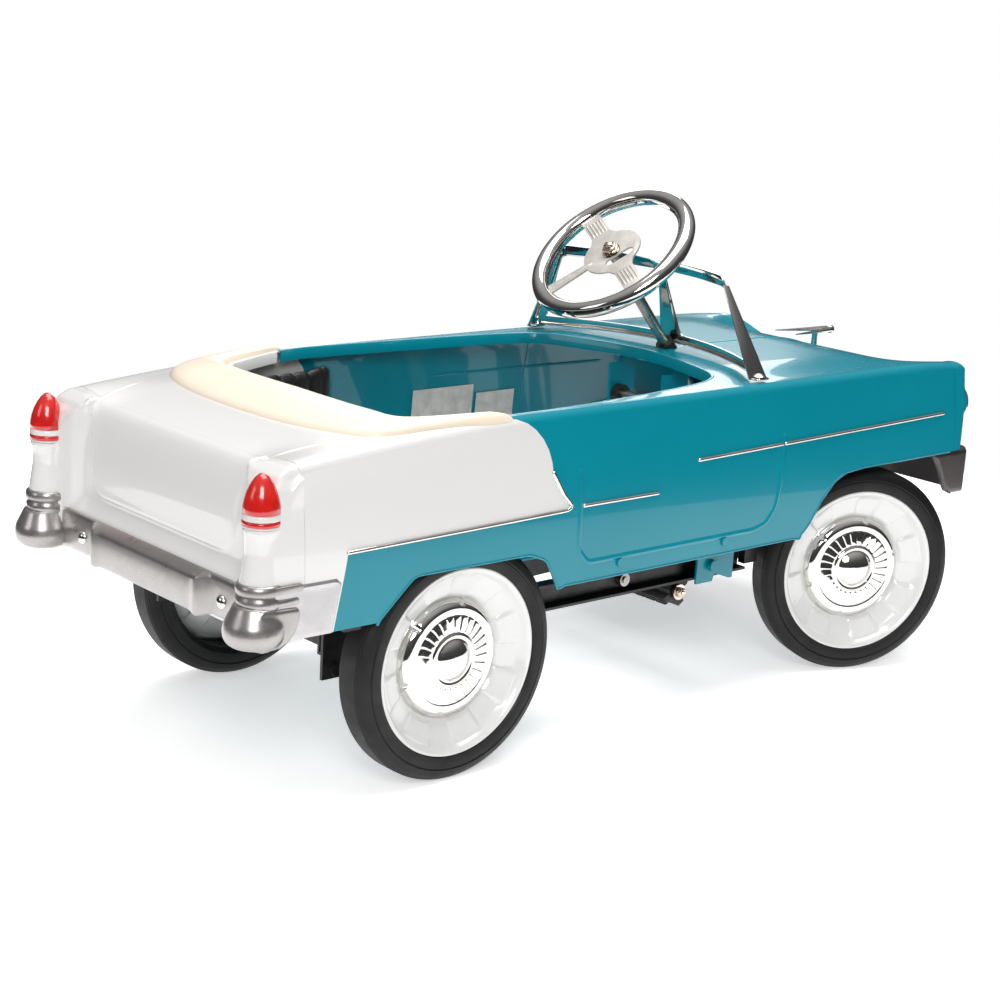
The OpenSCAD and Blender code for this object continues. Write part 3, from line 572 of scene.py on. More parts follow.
# ---------- body ----------
def build_body():
    """The coloured body and the white rear deck, cut from one skin along the paint line."""
    skin = body_skin(TAIL_SEAM, NOSE_SEAM)
    for arch in (REAR_ARCH, FRONT_ARCH):
        boolean(skin, prism(arch, -300, 300, "y"))
    boolean(skin, prism(cockpit_outline(), 320, 430, "z"))
    rear = raw_object("rear", [(0, 0, 0)], [])
    rear.data = skin.data.copy()
    boolean(rear, prism(WHITE_AREA, -300, 300, "y"), "INTERSECT")
    boolean(skin, prism(WHITE_AREA, -300, 300, "y"))
    piece(skin, "body_skin", TEAL, stands_for=["body_shell"], angle=40)
    piece(rear, "rear_deck_skin", WHITE, stands_for=["rear_deck_shell"], angle=40)


def build_cockpit_lip():
    """Edge of the cockpit opening, rolled over and turned down."""
    profile = [(3.2, 0.05), (1.6, 0.5), (0.2, 0.2), (-0.7, -0.9), (-0.8, -13), (0.3, -13.4), (0.7, -1.6),
               (2.6, -1.2)]
    outline = resample(cockpit_outline(), 6, closed=True)
    count = len(outline)
    for name, material, slot, front in (("cockpit_lip", TEAL, "body_paint", True),
                                        ("rear_deck_lip", WHITE, "white_paint", False)):
        chosen = [i for i in range(count) if (outline[i][0] >= 50) == front]
        start = next(k for k, i in enumerate(chosen) if (i - 1) % count not in chosen)
        chosen = chosen[start:] + chosen[:start]
        points = []
        for i in chosen:
            x, y = outline[i]
            ahead, behind = outline[(i + 1) % count], outline[i - 1]
            along = (ahead - behind) / np.linalg.norm(ahead - behind)
            outward = np.array([-along[1], along[0]])
            if np.dot(outward, np.array([x - 210, y])) < 0:
                outward = -outward
            for n, h in profile:
                px, py = x + outward[0] * n, y + outward[1] * n
                points.append((px, py, deck_z(px, py) + h))
        lip = raw_object(name, points, tube_faces(len(chosen), len(profile)))
        piece(lip, name, material, angle=50)


def on_side(points, side, proud=0.0):
    """Points (x, z) set on the body's left (1) or right (-1) side."""
    return [(x, side * (side_y(x, z) + proud), z) for x, z in points]


def ridge(path_points, width, height, cols, place, drop):
    """Pressed ridge along a path that fades at both ends: place() sets each point on its surface."""
    path = resample(path_points, 5)
    rows = len(path)
    points = []
    for i, p in enumerate(path):
        along = path[min(i + 1, rows - 1)] - path[max(i - 1, 0)]
        across = np.array([-along[1], along[0]]) / np.linalg.norm(along)
        fade = min(1, i / 3, (rows - 1 - i) / 3)
        for t in np.linspace(-1, 1, cols):
            a, b = p + across * t * width / 2
            points.append(place(a, b, height * fade * math.cos(t * math.pi / 2) ** 2 + 0.04))
    return raw_object("ridge", *slab(points, rows, cols, drop))


def side_ridge(path_points, side, width, height, inner=False):
    """Ridge on the outer or the inner face of the body's side."""
    facing = -1 if inner else 1
    skin = -SHEET if inner else 0
    return ridge(path_points, width, height, 9,
                 lambda x, z, lift: (x, side * (side_y(x, z) + skin + facing * lift), z),
                 (0, -facing * side * RIDGE_SHEET, 0))


def deck_ridge(path_points, width, height):
    """Ridge over the deck or the hood."""
    return ridge(path_points, width, height, 7, lambda x, y, lift: (x, y, deck_z(x, y) + lift),
                 (0, 0, -RIDGE_SHEET))


def build_side_details():
    """Beads of the doors, hood and boot lid, and hems along the sills and arches."""
    bead = rounded([(150, 313, 1), (150, 226, 14), (164, 211, 14), (424, 211, 16), (446, 216, 20),
                    (460, 234, 24), (466, 262, 30), (472, 318, 1)], 5)
    beads = [side_ridge(bead, side, 7, 1.5) for side in (1, -1)]
    for side in (1, -1):
        beads.append(side_ridge([(300, 321), (450, 320), (592, 318)], side, 4, 1.2, inner=True))
        beads.append(side_ridge([(456, 200), (456, 352)], side, 3, 1.0, inner=True))
    beads.append(deck_ridge([(512, 0), (600, 0), (764, 0)], 5, 0.9))
    piece(join(beads), "pressed_beads", TEAL, angle=80)
    lid = [deck_ridge([(-199, side * 154), (-175, side * 158), (-146, side * 164)], 3.4, 0.8)
           for side in (1, -1)]
    piece(join(lid), "lid_beads", WHITE, angle=80)
    hems = []
    for side in (1, -1):
        sill = [(x, 190.6) for x in np.arange(131, 506, 9)]
        front = [p for p in FRONT_ARCH if p[1] > 186 and p[0] < 700] + [(790, 262)]
        rear = [p for p in REAR_ARCH if p[1] > 186]
        path = resample(rear + sill + front, 6)
        hems.append(sweep(on_side(path, side, -0.5), disc_section(1.5, 8)))
    piece(join(hems), "side_hems", TEAL, angle=60)


def side_strip(points, width=4.6, height=2.6):
    """Half-round chrome strip along both sides of the body."""
    strips = []
    half = [(width / 2 * math.cos(a), height * math.sin(a)) for a in np.linspace(0, math.pi, 9)]
    for side in (1, -1):
        path = resample(points, 4)
        placed = np.array(on_side(path, side, 0.0))
        placed, scale = round_ends(placed, width / 2)
        profile = [(a, b) for a, b in half] + [(-width / 2, -0.6), (width / 2, -0.6)]
        strips.append(sweep(placed, profile, up=(0, side, 0), scale=scale))
    return join(strips)


def build_trims():
    """Chrome strips along the quarters, the doors and the fenders."""
    corner = arc((131, 277), (6, 5), -90, 0, 5)
    quarter = [(-150, 266), (0, 269), (124, 271.7)] + corner + [(126, 289), (112, 313)]
    piece(side_strip(quarter), "quarter_strips", CHROME, stands_for=["quarter_trims"], angle=50)
    piece(side_strip([(155, 274), (264, 274)]), "door_strips", CHROME,
          stands_for=["door_trims"], angle=50)
    fender = join([side_strip([(329, 303), (467, 306)]),
                   side_strip([(473, 306), (620, 309), (772, 312)])])
    piece(fender, "fender_strips", CHROME, stands_for=["fender_trims"], angle=50)


# ---------- tail ----------
def voxel_blend(obj, size, passes):
    """Melts the parts of an object into one skin with softly rounded edges."""
    remesh = obj.modifiers.new("blend", "REMESH")
    remesh.mode = "VOXEL"
    remesh.voxel_size = size * MM
    smooth = obj.modifiers.new("soft", "SMOOTH")
    smooth.factor = 0.5
    smooth.iterations = passes
    return apply_modifiers(obj)


LIGHT_X = (centre_of("tail_lights").x - AXLE_X) / MM
LENS_HALF_W = 20.3
LIGHT_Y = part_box("tail_lights")[1].y / MM - LENS_HALF_W
BULB_X = LIGHT_X - 5
LID_HALF_W = 134
LID_LOW = 251
LID_CORNER_R = 28
LID_RISE = 2.0


def tail_face():
    """Solid behind the end face: rolled over from the deck and flared out at the foot."""
    ys = np.linspace(-213, 213, 72)
    points = []
    for y in ys:
        top = deck_z(TAIL_SEAM, y)
        ring = [(TAIL_SEAM + 12, 180), (-229, 180), (-231.4, 187), (-231.4, 228), (-230, 232),
                (-224.5, 240), (-221.8, 248), (-221.4, 262)]
        ring += [(TAIL_SEAM - 21.4 * math.cos(a), 284 + (top - 284) * math.sin(a))
                 for a in np.linspace(0, math.pi / 2, 10)] + [(TAIL_SEAM + 12, top)]
        points += [(x, y, z) for x, z in ring]
    return raw_object("face", points, tube_faces(len(ys), len(points) // len(ys)))


def tail_fin(side):
    """Corner of the tail, which runs back past the face to carry a light."""
    front = TAIL_SEAM + 12
    fin = prism([(front, 180), (-238, 180), (-238, 300.5), (-236, 318), (-231, 333), (-223, 345),
                 (-212, 352.5), (front, 356)], -300, 300, "y")
    plan = [(front, 150), (-220, 150), (-225, 154), (-230.5, 162), (-236, 184), (-238, LIGHT_Y),
            (-238, 217.9), (front, 217.9)]
    boolean(fin, prism([(x, side * y) for x, y in plan], 100, 500, "z"), "INTERSECT")
    return boolean(fin, prism(section(TAIL_SEAM, 0, 150), -330, front, "x"), "INTERSECT")


def build_tail():
    """White end panel, with a waisted pillar under each light and a raised lid outline."""
    pillar = [(0.01, 195), (20, 195), (20, 246), (18.4, 256), (15.8, 274), (16.2, 288), (18.2, 299.5),
              (0.01, 300.5)]
    parts = [tail_face()]
    for side in (1, -1):
        parts += [tail_fin(side), lathe(pillar, 48, upright(LIGHT_X, side * LIGHT_Y))]
    tail = voxel_blend(join(parts), 2.0, 6)
    tail.data.shade_smooth()
    moved = []
    for vertex in tail.data.vertices:
        x, y, z = vertex.co.x - AXLE_X, vertex.co.y, vertex.co.z
        widening = 20 * float(smooth_step((z / MM - 300) / 50))
        across = max(abs(y) / MM - LID_HALF_W - widening + LID_CORNER_R, 0)
        down = max(LID_LOW - z / MM + LID_CORNER_R, 0)
        inside = LID_CORNER_R - math.hypot(across, down)
        lift = LID_RISE * float(smooth_step(inside / 3)) if x < -0.17 else 0
        moved.append(vertex.co + vertex.normal * lift * MM)
    for vertex, place in zip(tail.data.vertices, moved):
        vertex.co = place
    keep = [(-300, 187), (TAIL_SEAM - 0.4, 187), (TAIL_SEAM - 0.4, 400), (-300, 400)]
    boolean(tail, prism(keep, -300, 300, "y"), "INTERSECT")
    piece(tail, "tail_skin", WHITE, stands_for=["tail_panel"], angle=50)


def build_tail_lights():
    """Bullet lenses, each over a white band and a thin red one."""
    bullet = [(17.6, 312.6), (18.2, 313.4), (18, 319), (16.8, 326), (14.4, 333.5), (11, 340.5), (7.2, 346),
              (3.4, 349.4), (0.01, 350.4)]
    ring = [(17.8, 301.4), (18.6, 302.2), (18.7, 305.4), (17.6, 306.6)]
    band = [(17.4, 306.4), (18.4, 307), (18.4, 311.6), (17.4, 312.8)]
    edge = [(17.4, 299.6), (18.4, 300.2), (18.4, 301), (17.6, 301.6)]
    reds, whites = [], []
    for side in (1, -1):
        at = upright(LIGHT_X, side * LIGHT_Y)
        for group, profiles in ((reds, (bullet, ring)), (whites, (band, edge))):
            group += [lathe([(0.01, p[0][1])] + p + [(0.01, p[-1][1])], 56, at) for p in profiles]
    piece(join(reds), "tail_lenses", RED, stands_for=["tail_lights"], angle=50)
    piece(join(whites), "tail_light_bands", WHITE, angle=50)


def guard_plate(side):
    """Thin plate that carries a guard forward along the side, beaded along its upper edge."""
    rows, cols = 22, 16
    sheet = []
    for j in range(rows):
        z = 189.5 + 53 * j / (rows - 1)
        front = -166.5 + 9.5 * (z - 190) / 47 - 7 * float(smooth_step((z - 236) / 6.5))
        for i in range(cols):
            x = LIGHT_X + (front - LIGHT_X) * (1 - (1 - i / (cols - 1)) ** 1.6)
            edge = min((z - 189.3) / 1.6, (242.7 - z) / 1.6, (front - x) / 1.6, 1)
            bead = 0.9 * math.exp(-((z - 240) / 1.8) ** 2)
            sheet.append((x, side * (side_y(max(x, TAIL_SEAM), z) + 0.1
                                     + (1.1 + bead) * max(edge, 0) ** 0.5), z))
    return raw_object("plate", *slab(sheet, rows, cols, (0, -side * 0.9, 0)))


def build_guards():
    """Bulb and stepped collar at each rear corner, carried forward along the side."""
    bulb = [(0.01, 182.5), (15, 183), (22, 185), (27, 188.5), (29.6, 194), (30.2, 200), (29, 207),
            (25.6, 214), (22.6, 220), (20, 226), (0.01, 226)]
    collar = [(0.01, 216), (20.6, 216), (20.8, 223), (22, 224.6), (22.2, 231.6), (20.6, 233.4), (20.6, 236),
              (22.8, 237.2), (23.2, 241), (22.2, 244.6), (20.4, 246.4), (0.01, 246.4)]
    guards, plates = [], []
    for side in (1, -1):
        blend = [lathe(bulb, 72, upright(BULB_X, side * LIGHT_Y))]
        wedge = [(-250, 183), (-228, 184.5), (-218, 190), (-210, 200), (-206, 214), (-208, 222),
                 (-250, 224)]
        blend.append(prism(wedge, side * 186, side * 222.6, "y"))
        guards.append(voxel_blend(join(blend), 1.8, 9))
        guards.append(lathe(collar, 72, upright(LIGHT_X, side * LIGHT_Y)))
        for z0, z1, y, x1 in ((225, 231.6, 2.6, -207), (237, 244.6, 3.4, -203)):
            bar = rounded([(LIGHT_X, z0, 1), (x1, z0, 3), (x1, z1, 3), (LIGHT_X, z1, 1)], 4)
            bar = prism(bar, side * 214, side * (half_w(TAIL_SEAM) + y), "y")
            bevel_edges(bar, 1.2, 30, 2)
            guards.append(bar)
        plates.append(guard_plate(side))
    piece(join(guards), "rear_guards", SILVER, stands_for=["bumper_guards"], angle=50)
    piece(join(plates), "rear_guard_plates", SIDE_SILVER, angle=40)


def build_rear_bumper():
    """Flat bar between the guards, with a raised centre section that swells at its ends."""
    def ring_at(y):
        rise = float(smooth_step((112 - abs(y)) / 16))
        bulge = math.exp(-((abs(y) - 98) / 9) ** 2)
        back = -233.8 - 8 * rise - 2.2 * bulge
        low, high = 189.5 - 2.5 * rise - 2 * bulge, 229.6 - 5.4 * rise + 1.5 * bulge
        mid = (low + high) / 2
        return [(-231.2, 231.5), (-233.6, 230.6), (back + 2.4, high + 0.4), (back + 0.8, high - 1),
                (back, high - 4),
                (back - 0.4, mid), (back, low + 4), (back + 0.8, low + 1.2), (back + 2.4, low),
                (-231.2, low), (-230.4, low + 3), (-230.4, 228)]
    ys = np.concatenate([np.linspace(-174, -114, 13), np.linspace(-112, -84, 19), np.linspace(-78, 78, 9),
                         np.linspace(84, 112, 19), np.linspace(114, 174, 13)])
    points = [(x, y, z) for y in ys for x, z in ring_at(y)]
    bar = raw_object("bumper", points, tube_faces(len(ys), len(ring_at(0))))
    piece(bar, "rear_bumper_bar", SILVER, stands_for=["rear_bumper"], angle=42)
    screws = []
    dome = [(7.2, 0), (7.2, 0.8), (6.2, 2.4), (4.6, 3.8), (2.4, 4.6), (0.01, 4.9)]
    for side in (1, -1):
        at = upright(-233.8, side * 131, 207) @ Matrix.Rotation(-math.pi / 2, 4, "Y")
        screws.append(lathe([(0.01, 0)] + dome, 40, at))
    piece(join(screws), "rear_bumper_screws", CHROME, stands_for=["bumper_screws"], angle=50)


# ---------- boot cover ----------
BOOT_OUTER = [(-138, 0), (-136, 60), (-130, 110), (-118, 150), (-100, 178), (-75, 190), (-40, 196.5),
              (25, 205), (62, 208.5)]
BOOT_INNER = [(-48, 0), (-49, 60), (-49, 110), (-46, 148), (-30, 166), (0, 178), (31, 187), (63, 197.5)]


def build_boot_cover():
    """Soft cover of the folded top: a crowned band round the back of the cockpit."""
    outer = resample(curve_through(BOOT_OUTER, 8), 4.5)
    inner = curve_through(BOOT_INNER, 8)
    share = np.linspace(0, 1, len(outer))
    inner_length = np.concatenate([[0], np.cumsum(np.linalg.norm(np.diff(inner, axis=0), axis=1))])
    inner_length /= inner_length[-1]
    eased = share ** 0.9
    inner = np.stack([np.interp(eased, inner_length, inner[:, k]) for k in (0, 1)], axis=1)
    rings = []
    cols = 21
    for i in range(len(outer)):
        end = min(1.0, (len(outer) - 1 - i) / 7)
        fullness = 0.25 + 0.75 * math.sqrt(end)
        crown = (8.5 + 2.5 * float(smooth_step((60 - outer[i][0]) / 160))) * fullness
        centre = (outer[i] + inner[i]) / 2
        pinch = 0.5 + 0.5 * math.sqrt(end)
        ring = []
        for t in np.linspace(0, 1, cols):
            flat = outer[i] + (inner[i] - outer[i]) * t
            flat = centre + (flat - centre) * pinch
            lift = crown * (1 - abs(2 * t - 1) ** 2.6) ** 0.55 - 1.2
            if t > 0.9:
                lift -= (t - 0.9) * 60 * end
            ring.append((flat[0], flat[1], deck_z(flat[0], flat[1]) + lift))
        under = [(p[0], p[1], p[2] - 4 - 6 * math.sin(math.pi * k / (cols - 1))) for k,
                 p in enumerate(ring)]
        rings.append(ring + under[::-1])
    both = [[(x, -y, z) for x, y, z in ring] for ring in rings[:0:-1]] + rings
    cover = raw_object("boot", [p for ring in both for p in ring], tube_faces(len(both), 2 * cols))
    piece(cover, "boot_cover_skin", CREAM, stands_for=["boot_cover"], angle=60)


# ---------- wheels ----------
def wheel_matrix(name, side, front):
    """Frame on a wheel's centre, with local Z pointing away from the car."""
    outward = joint_axis("child", name + "_wheel") * side if front else Vector((0, side, 0))
    up = Vector((0, 0, 1))
    return axes_at(centre_of(name + "_tyre"), up.cross(outward).normalized(), up, outward)


def build_tyre(at):
    """Tyre with fine grooves beside the tread and a stepped sidewall."""
    half = [(99.4, 19.4), (101.2, 21.6), (106, 22.7), (112, 22.4), (113, 21.4), (114.2, 22), (119.5, 20.6),
            (123.2, 17.6), (124, 16.2), (125.2, 15.4), (125.4, 14.2), (126.2, 13.4), (126.3, 12.2),
            (126.9, 11.4), (127, 5), (127, 0)]
    profile = half + [(r, -z) for r, z in half[-2::-1]] + [(95, -17), (95, 17)]
    return lathe(profile, 120, at, closed=True)


def polar_sheet(radii, segments, height, thickness, at):
    """Pressed round sheet whose height is a function of radius and angle."""
    angles = np.linspace(0, 2 * math.pi, segments, endpoint=False)
    top = [(r * math.cos(a), r * math.sin(a), height(r, a)) for r in radii for a in angles]
    under = [(r * math.cos(a), r * math.sin(a), height(r, a) - thickness) for r in radii[::-1]
             for a in angles]
    faces = grid_faces(2 * len(radii), segments, close_cols=True, close_rows=radii[0] > 0)
    return raw_object("sheet", top + under, faces, at)


def disc_height(r, angle):
    """Height of the pressed wheel disc: a rising rim with eight stepped lugs."""
    base = np.interp(r, [0, 60, 66, 84, 88, 92, 95, 97.5, 99.5, 100.4],
                     [-4, -4, 0.5, 7.5, 9.5, 14, 18.6, 20.4, 20.2, 19])
    turn = (angle / (math.pi / 4)) % 1.0
    lug = smooth_step((turn - 0.04) / 0.05) * smooth_step((0.62 - turn) / 0.05)
    band = smooth_step((r - 66) / 3) * smooth_step((91.5 - r) / 3)
    return base + 2.6 * lug * band


def cap_height(r, angle):
    """Height of the chrome hubcap: crimped outer roll, fluted ring and centre dome."""
    base = np.interp(r, [0, 4, 9, 14, 18.5, 22.4, 24, 26, 27.6, 29, 48, 49.4, 51, 55, 59, 62, 64.2, 65],
                     [19.6, 19.4, 18.6, 17, 14.6, 11.4, 11.2, 12.4, 12.2, 10.8, 8.6, 9.4, 9.2, 9.4, 7.4,
                      4, -0.6, -2.4])
    petal = angle * 14 / math.pi % 1
    flute = petal * float(smooth_step((1 - petal) / 0.12))
    ring = smooth_step((r - 29.5) / 2.5) * smooth_step((47.5 - r) / 2)
    nearest = (angle + 0.2) % (math.pi / 3) - math.pi / 6
    crimp = math.hypot(r - 60.5, 60.5 * nearest)
    return base + 1.1 * flute * ring - 2.4 * float(smooth_step(1.4 - crimp / 3.2))


def build_wheel(side, front):
    name = ("front_" if front else "rear_") + ("left" if side > 0 else "right")
    body = name + "_wheel" if (front or side > 0) else "rear_axle"
    at = wheel_matrix(name, side, front)
    piece(build_tyre(at), name + "_tyre_skin", RUBBER, body, [name + "_tyre"], 28)
    radii = list(np.linspace(9, 60, 6)) + [63, 65, 67, 69, 71, 75, 79, 83, 86, 88.5, 90, 91.5, 93, 95,
                                           96.5, 98,
                                           99.2, 100, 100.4]
    disc = polar_sheet(radii, 192, disc_height, 1.4, at)
    piece(disc, name + "_disc_skin", WHEEL_WHITE, body, [name + "_disc"], 38)
    radii = [0, 2, 4, 6.5, 9, 11.5, 14, 16.5, 18.5, 20.5, 22, 23, 24, 25, 26, 27, 28, 29, 30, 31, 32, 36,
             41,
             45, 46.2, 47, 48, 49, 50, 52, 54, 56, 58, 60, 61.5, 63, 64, 64.6, 65]
    cap = polar_sheet(radii, 336, cap_height, 0.9, at)
    piece(cap, name + "_hubcap_skin", CHROME, body, [name + "_hubcap"], 50)


# ---------- steering wheel ----------
STEER_TURN = 30
STEER_RIM_R = 94.2
STEER_TUBE_R = 9.8


def steering_matrix():
    """Frame on the steering wheel: local Z toward the driver, local X up the rim."""
    axis = joint_axis("name", "steering_turn").normalized()
    side = Vector((0, 1, 0))
    turn = Matrix.Rotation(math.radians(-STEER_TURN), 4, "Z")
    return axes_at(centre_of("steering_rim"), side.cross(axis).normalized(), side, axis) @ turn


def build_steering_wheel():
    at = steering_matrix()
    tube = [(STEER_RIM_R + STEER_TUBE_R * math.cos(a), STEER_TUBE_R * math.sin(a))
            for a in np.linspace(0, 2 * math.pi, 28, endpoint=False)]
    piece(lathe(tube, 128, at, closed=True), "steering_rim_tube", CHROME, "steering",
          ["steering_rim"])
    reach = 87
    plate = [(12, reach), (-12, reach), (-12, 42)]
    plate += arc((0, 0), (36, 36), 118, 172, 8)
    plate += [(-42, 5.5), (-reach, 8), (-reach, -8), (-42, -5.5)]
    plate += arc((0, 0), (36, 36), 188, 242, 8)
    plate += [(-12, -42), (-12, -reach), (12, -reach), (12, -42)]
    plate += arc((0, 0), (36, 36), 298, 422, 16)
    plate += [(12, 42)]
    spokes = plate_object(plate, 0, 2.4, at)
    slot = arc((17, -17), (5.6, 5.6), -90, 90, 8) + arc((-9, -17), (5.6, 5.6), 90, 270, 8)
    boolean(spokes, plate_object(slot, -8, 8, at))
    bevel_edges(spokes, 0.9, 40, 3)
    parts = [spokes]
    for side in (1, -1):
        for i in range(-2, 3):
            parts.append(pressed_rib((i * 4.2, side * 43), (i * 4.2, side * 74), 1.5, 2.4, at))
    parts.append(pressed_rib((-26, 0), (-80, 0), 2.6, 2.4, at))
    piece(join(parts), "steering_spoke_plate", SPOKE_SILVER, "steering",
          ["steering_spokes"], 40)
    washer = lathe([(6, 2.6), (11, 2.6), (11.4, 3.2), (11, 4), (6, 4.4)], 40, at)
    nut = hex_nut(9.4, 4.4, 11.4, at)
    stud = lathe([(0.01, 15.4), (3.2, 15.2), (5, 14), (5, 8)], 24, at)
    piece(join([washer, nut, stud]), "steering_cap_nut", NUT_PLATE, "steering",
          ["steering_nut"], 35)


def pressed_rib(start, end, width, base, at):
    """Rounded rib raised on a pressed plate."""
    start, end = np.array(start, float), np.array(end, float)
    along = (end - start) / np.linalg.norm(end - start)
    across = np.array([-along[1], along[0]])
    length = np.linalg.norm(end - start)
    points = []
    rows = 15
    for s in np.linspace(0, length, rows):
        ease = min(1, s / 4, (length - s) / 4)
        ease = math.sqrt(max(0, ease))
        for t in np.linspace(-1, 1, 7):
            p = start + along * s + across * t * width * (0.35 + 0.65 * ease)
            points.append((p[0], p[1], base - 0.1 + 1.3 * ease * (1 - t * t)))
    return raw_object("rib", points, grid_faces(rows, 7), at)


def hex_nut(radius, low, high, at):
    points = []
    for z, grow in ((low, 0.93), (low + 1, 1), (high - 1.2, 1), (high, 0.88)):
        points += [(radius * grow * math.cos(a), radius * grow * math.sin(a), z)
                   for a in np.arange(6) * math.pi / 3]
    nut = raw_object("nut", points, tube_faces(4, 6), at)
    bevel_edges(nut, 0.5, 30, 2)
    return nut


# ---------- windshield ----------
def glass_point(u, v):
    """Place on the windshield: u from right (-1) to left (1), v from the hood (0) to the top (1)."""
    base = np.array([503 - 55 * u * u, 186 * u, 385 - 4 * u * u])
    top = np.array([470 - 35 * u * u, 134 * u, 488 + u * u])
    return base + (top - base) * v


def mapped(obj, place):
    """Moves every vertex, in millimetres, through a function of its place."""
    for vertex in obj.data.vertices:
        x, y, z = vertex.co / MM
        vertex.co = Vector(to_frame([place(x - AXLE_X / MM, y, z)])[0])
    return obj


def build_windshield():
    """Stamped open frame with rounded windows, side flanges and a flared centre post."""
    outline = rounded([(-170, 0, 2), (170, 0, 2), (170, 100, 9), (-170, 100, 9)])
    plate = prism(outline, 0, 1.8, "z")
    for side in (1, -1):
        window = [(6, 88), (165, 88), (166, 11), (16, 11)]
        window = rounded([(side * x, y, 9) for x, y in window])
        boolean(plate, prism(window, -5, 5, "z"))
    made = bmesh.new()
    made.from_mesh(plate.data)
    for x in range(-160, 161, 10):
        geometry = made.verts[:] + made.edges[:] + made.faces[:]
        bmesh.ops.bisect_plane(made, geom=geometry, plane_co=(AXLE_X + x * MM, 0, 0), plane_no=(1, 0, 0))
    made.to_mesh(plate.data)
    made.free()
    bevel_edges(plate, 0.5, 50, 2)
    lean = np.array([0.95, 0, 0.31])
    mapped(plate, lambda x, y, z: glass_point(x / 170, y / 100) - lean * z)
    parts = [plate]
    for side in (1, -1):
        fin = [(440, 139, 478), (431, 139, 479), (433, 187.5, 378.5), (463, 187.5, 378.5)]
        rings = [[(x, side * (y + t), z) for x, y, z in fin] for t in (-0.2, 1.4)]
        flange = raw_object("flange", rings[0] + rings[1], tube_faces(2, 4))
        bevel_edges(flange, 0.5, 40, 2)
        foot = prism(rounded([(436, side * 183, 4), (462, side * 183, 4), (460, side * 197, 6),
                              (439, side * 197, 6)]),
                     377.6, 379.6, "z")
        bevel_edges(foot, 0.5, 40, 2)
        parts += [flange, foot]
    lip = [tuple(glass_point(u, 0.02) + np.array([-3.4, 0, -0.6])) for u in np.linspace(-0.97, 0.97, 29)]
    parts.append(sweep(lip, [(a * 3.4, b * 1.1) for a, b in disc_section(1, 10)]))
    piece(join(parts), "windshield_pressing", CHROME, stands_for=["windshield_frame"], angle=40)
    bolts = []
    dome = [(0.01, 0), (7, 0), (7, 1.6), (5.4, 3), (3.2, 4.6), (0.01, 5.4)]
    for side in (1, -1):
        bolts.append(lathe(dome, 32, upright(449, side * 190, 379.7)))
        at = upright(503.4, side * 7, 391) @ Matrix.Rotation(math.radians(-72), 4, "Y")
        bolts.append(lathe([(r * 0.42, h * 0.42) for r, h in dome], 24, at))
    piece(join(bolts), "windshield_bolt_heads", CHROME, stands_for=["windshield_bolts"], angle=40)


def build_ornament():
    """Two swept blades that meet in a rounded nose, on a short foot."""
    parts = []
    for side in (1, -1):
        points = []
        rows, cols = 22, 14
        for t in np.linspace(0, 1, rows):
            wide = 4.4 * math.sqrt(min(1, 0.02 + t / 0.08)) * (1 - 0.84 * t)
            high = 4.2 * math.sqrt(min(1, 0.02 + t / 0.08)) * (1 - 0.82 * t)
            x, y, z = 806 - 94 * t, side * (1.8 + 15.4 * t ** 0.9), 381 + 1.4 * t * t
            points += [(x, y + wide * math.cos(a), z
                        + high * math.sin(a) * (1 if math.sin(a) > 0 else 0.75))
                       for a in np.linspace(0, 2 * math.pi, cols, endpoint=False)]
        parts.append(raw_object("blade", points, tube_faces(rows, cols)))
    nose = [(0.01, 375.6), (3, 376), (5, 378), (5.6, 381), (5, 383.8), (3, 385.6), (0.01, 386)]
    parts.append(lathe(nose, 36, upright(800.6, 0)))
    foot = [(0.01, 352), (4, 352), (3.8, 362), (3.4, 374), (4.6, 380), (0.01, 381)]
    parts.append(lathe(foot, 28, upright(770, 0)))
    piece(join(parts), "hood_wings", CHROME, stands_for=["hood_ornament"], angle=50)


# ---------- nose ----------
def build_nose():
    """Rounded fender fronts and hood front, with the grille opening and lamp pods."""
    back, top = NOSE_SEAM - 10, ridge_z(NOSE_SEAM)
    side = [(back, 255), (817, 255), (821, 262), (827, 318), (828.5, 340)]
    side += arc((802, top - 31), (27, 33), 12, 90, 8) + [(back, top + 4)]
    block = prism(side, -260, 260, "y")
    plan = [(back, -230), (808, -219), (818, -212), (825, -196), (829, -150), (830, 0)]
    plan += [(x, -y) for x, y in plan[-2::-1]]
    boolean(block, prism(plan, 100, 500, "z"), "INTERSECT")
    boolean(block, prism(section(NOSE_SEAM, 0, 150), back - 5, 850, "x"), "INTERSECT")
    lamps, bezels = [], []
    for hand in (1, -1):
        at = upright(812, hand * 184, 318) @ Matrix.Rotation(math.pi / 2, 4, "Y")
        pod = lathe([(0.01, -8), (27, -8), (27, 12), (25.4, 15.6), (0.01, 15.8)], 48, at)
        boolean(block, pod, "UNION")
        bezels.append(lathe([(20, 12), (25, 13), (25.6, 15.4), (24.4, 17.6), (21.6, 18.8), (19.8, 17.4)],
                            56, at,
                            closed=True))
        lens = [(0.01, 10), (20.6, 10), (20.6, 16), (17, 18.6), (12, 20.2), (6, 21.2), (0.01, 21.5)]
        lamps.append(lathe(lens, 48, at))
    voxel_blend(block, 2.4, 5)
    keep = [(NOSE_SEAM + 0.4, 262), (900, 262), (900, 500), (NOSE_SEAM + 0.4, 500)]
    boolean(block, prism(keep, -300, 300, "y"), "INTERSECT")
    boolean(block, prism([(-138, 272), (138, 272), (138, 322), (-138, 322)], 811, 860, "x"))
    piece(block, "nose_skin", TEAL, stands_for=["nose_panel"], angle=50)
    piece(join(lamps), "headlight_lenses", LAMP, stands_for=["headlights"], angle=40)
    piece(join(bezels), "headlight_rims", CHROME, angle=50)


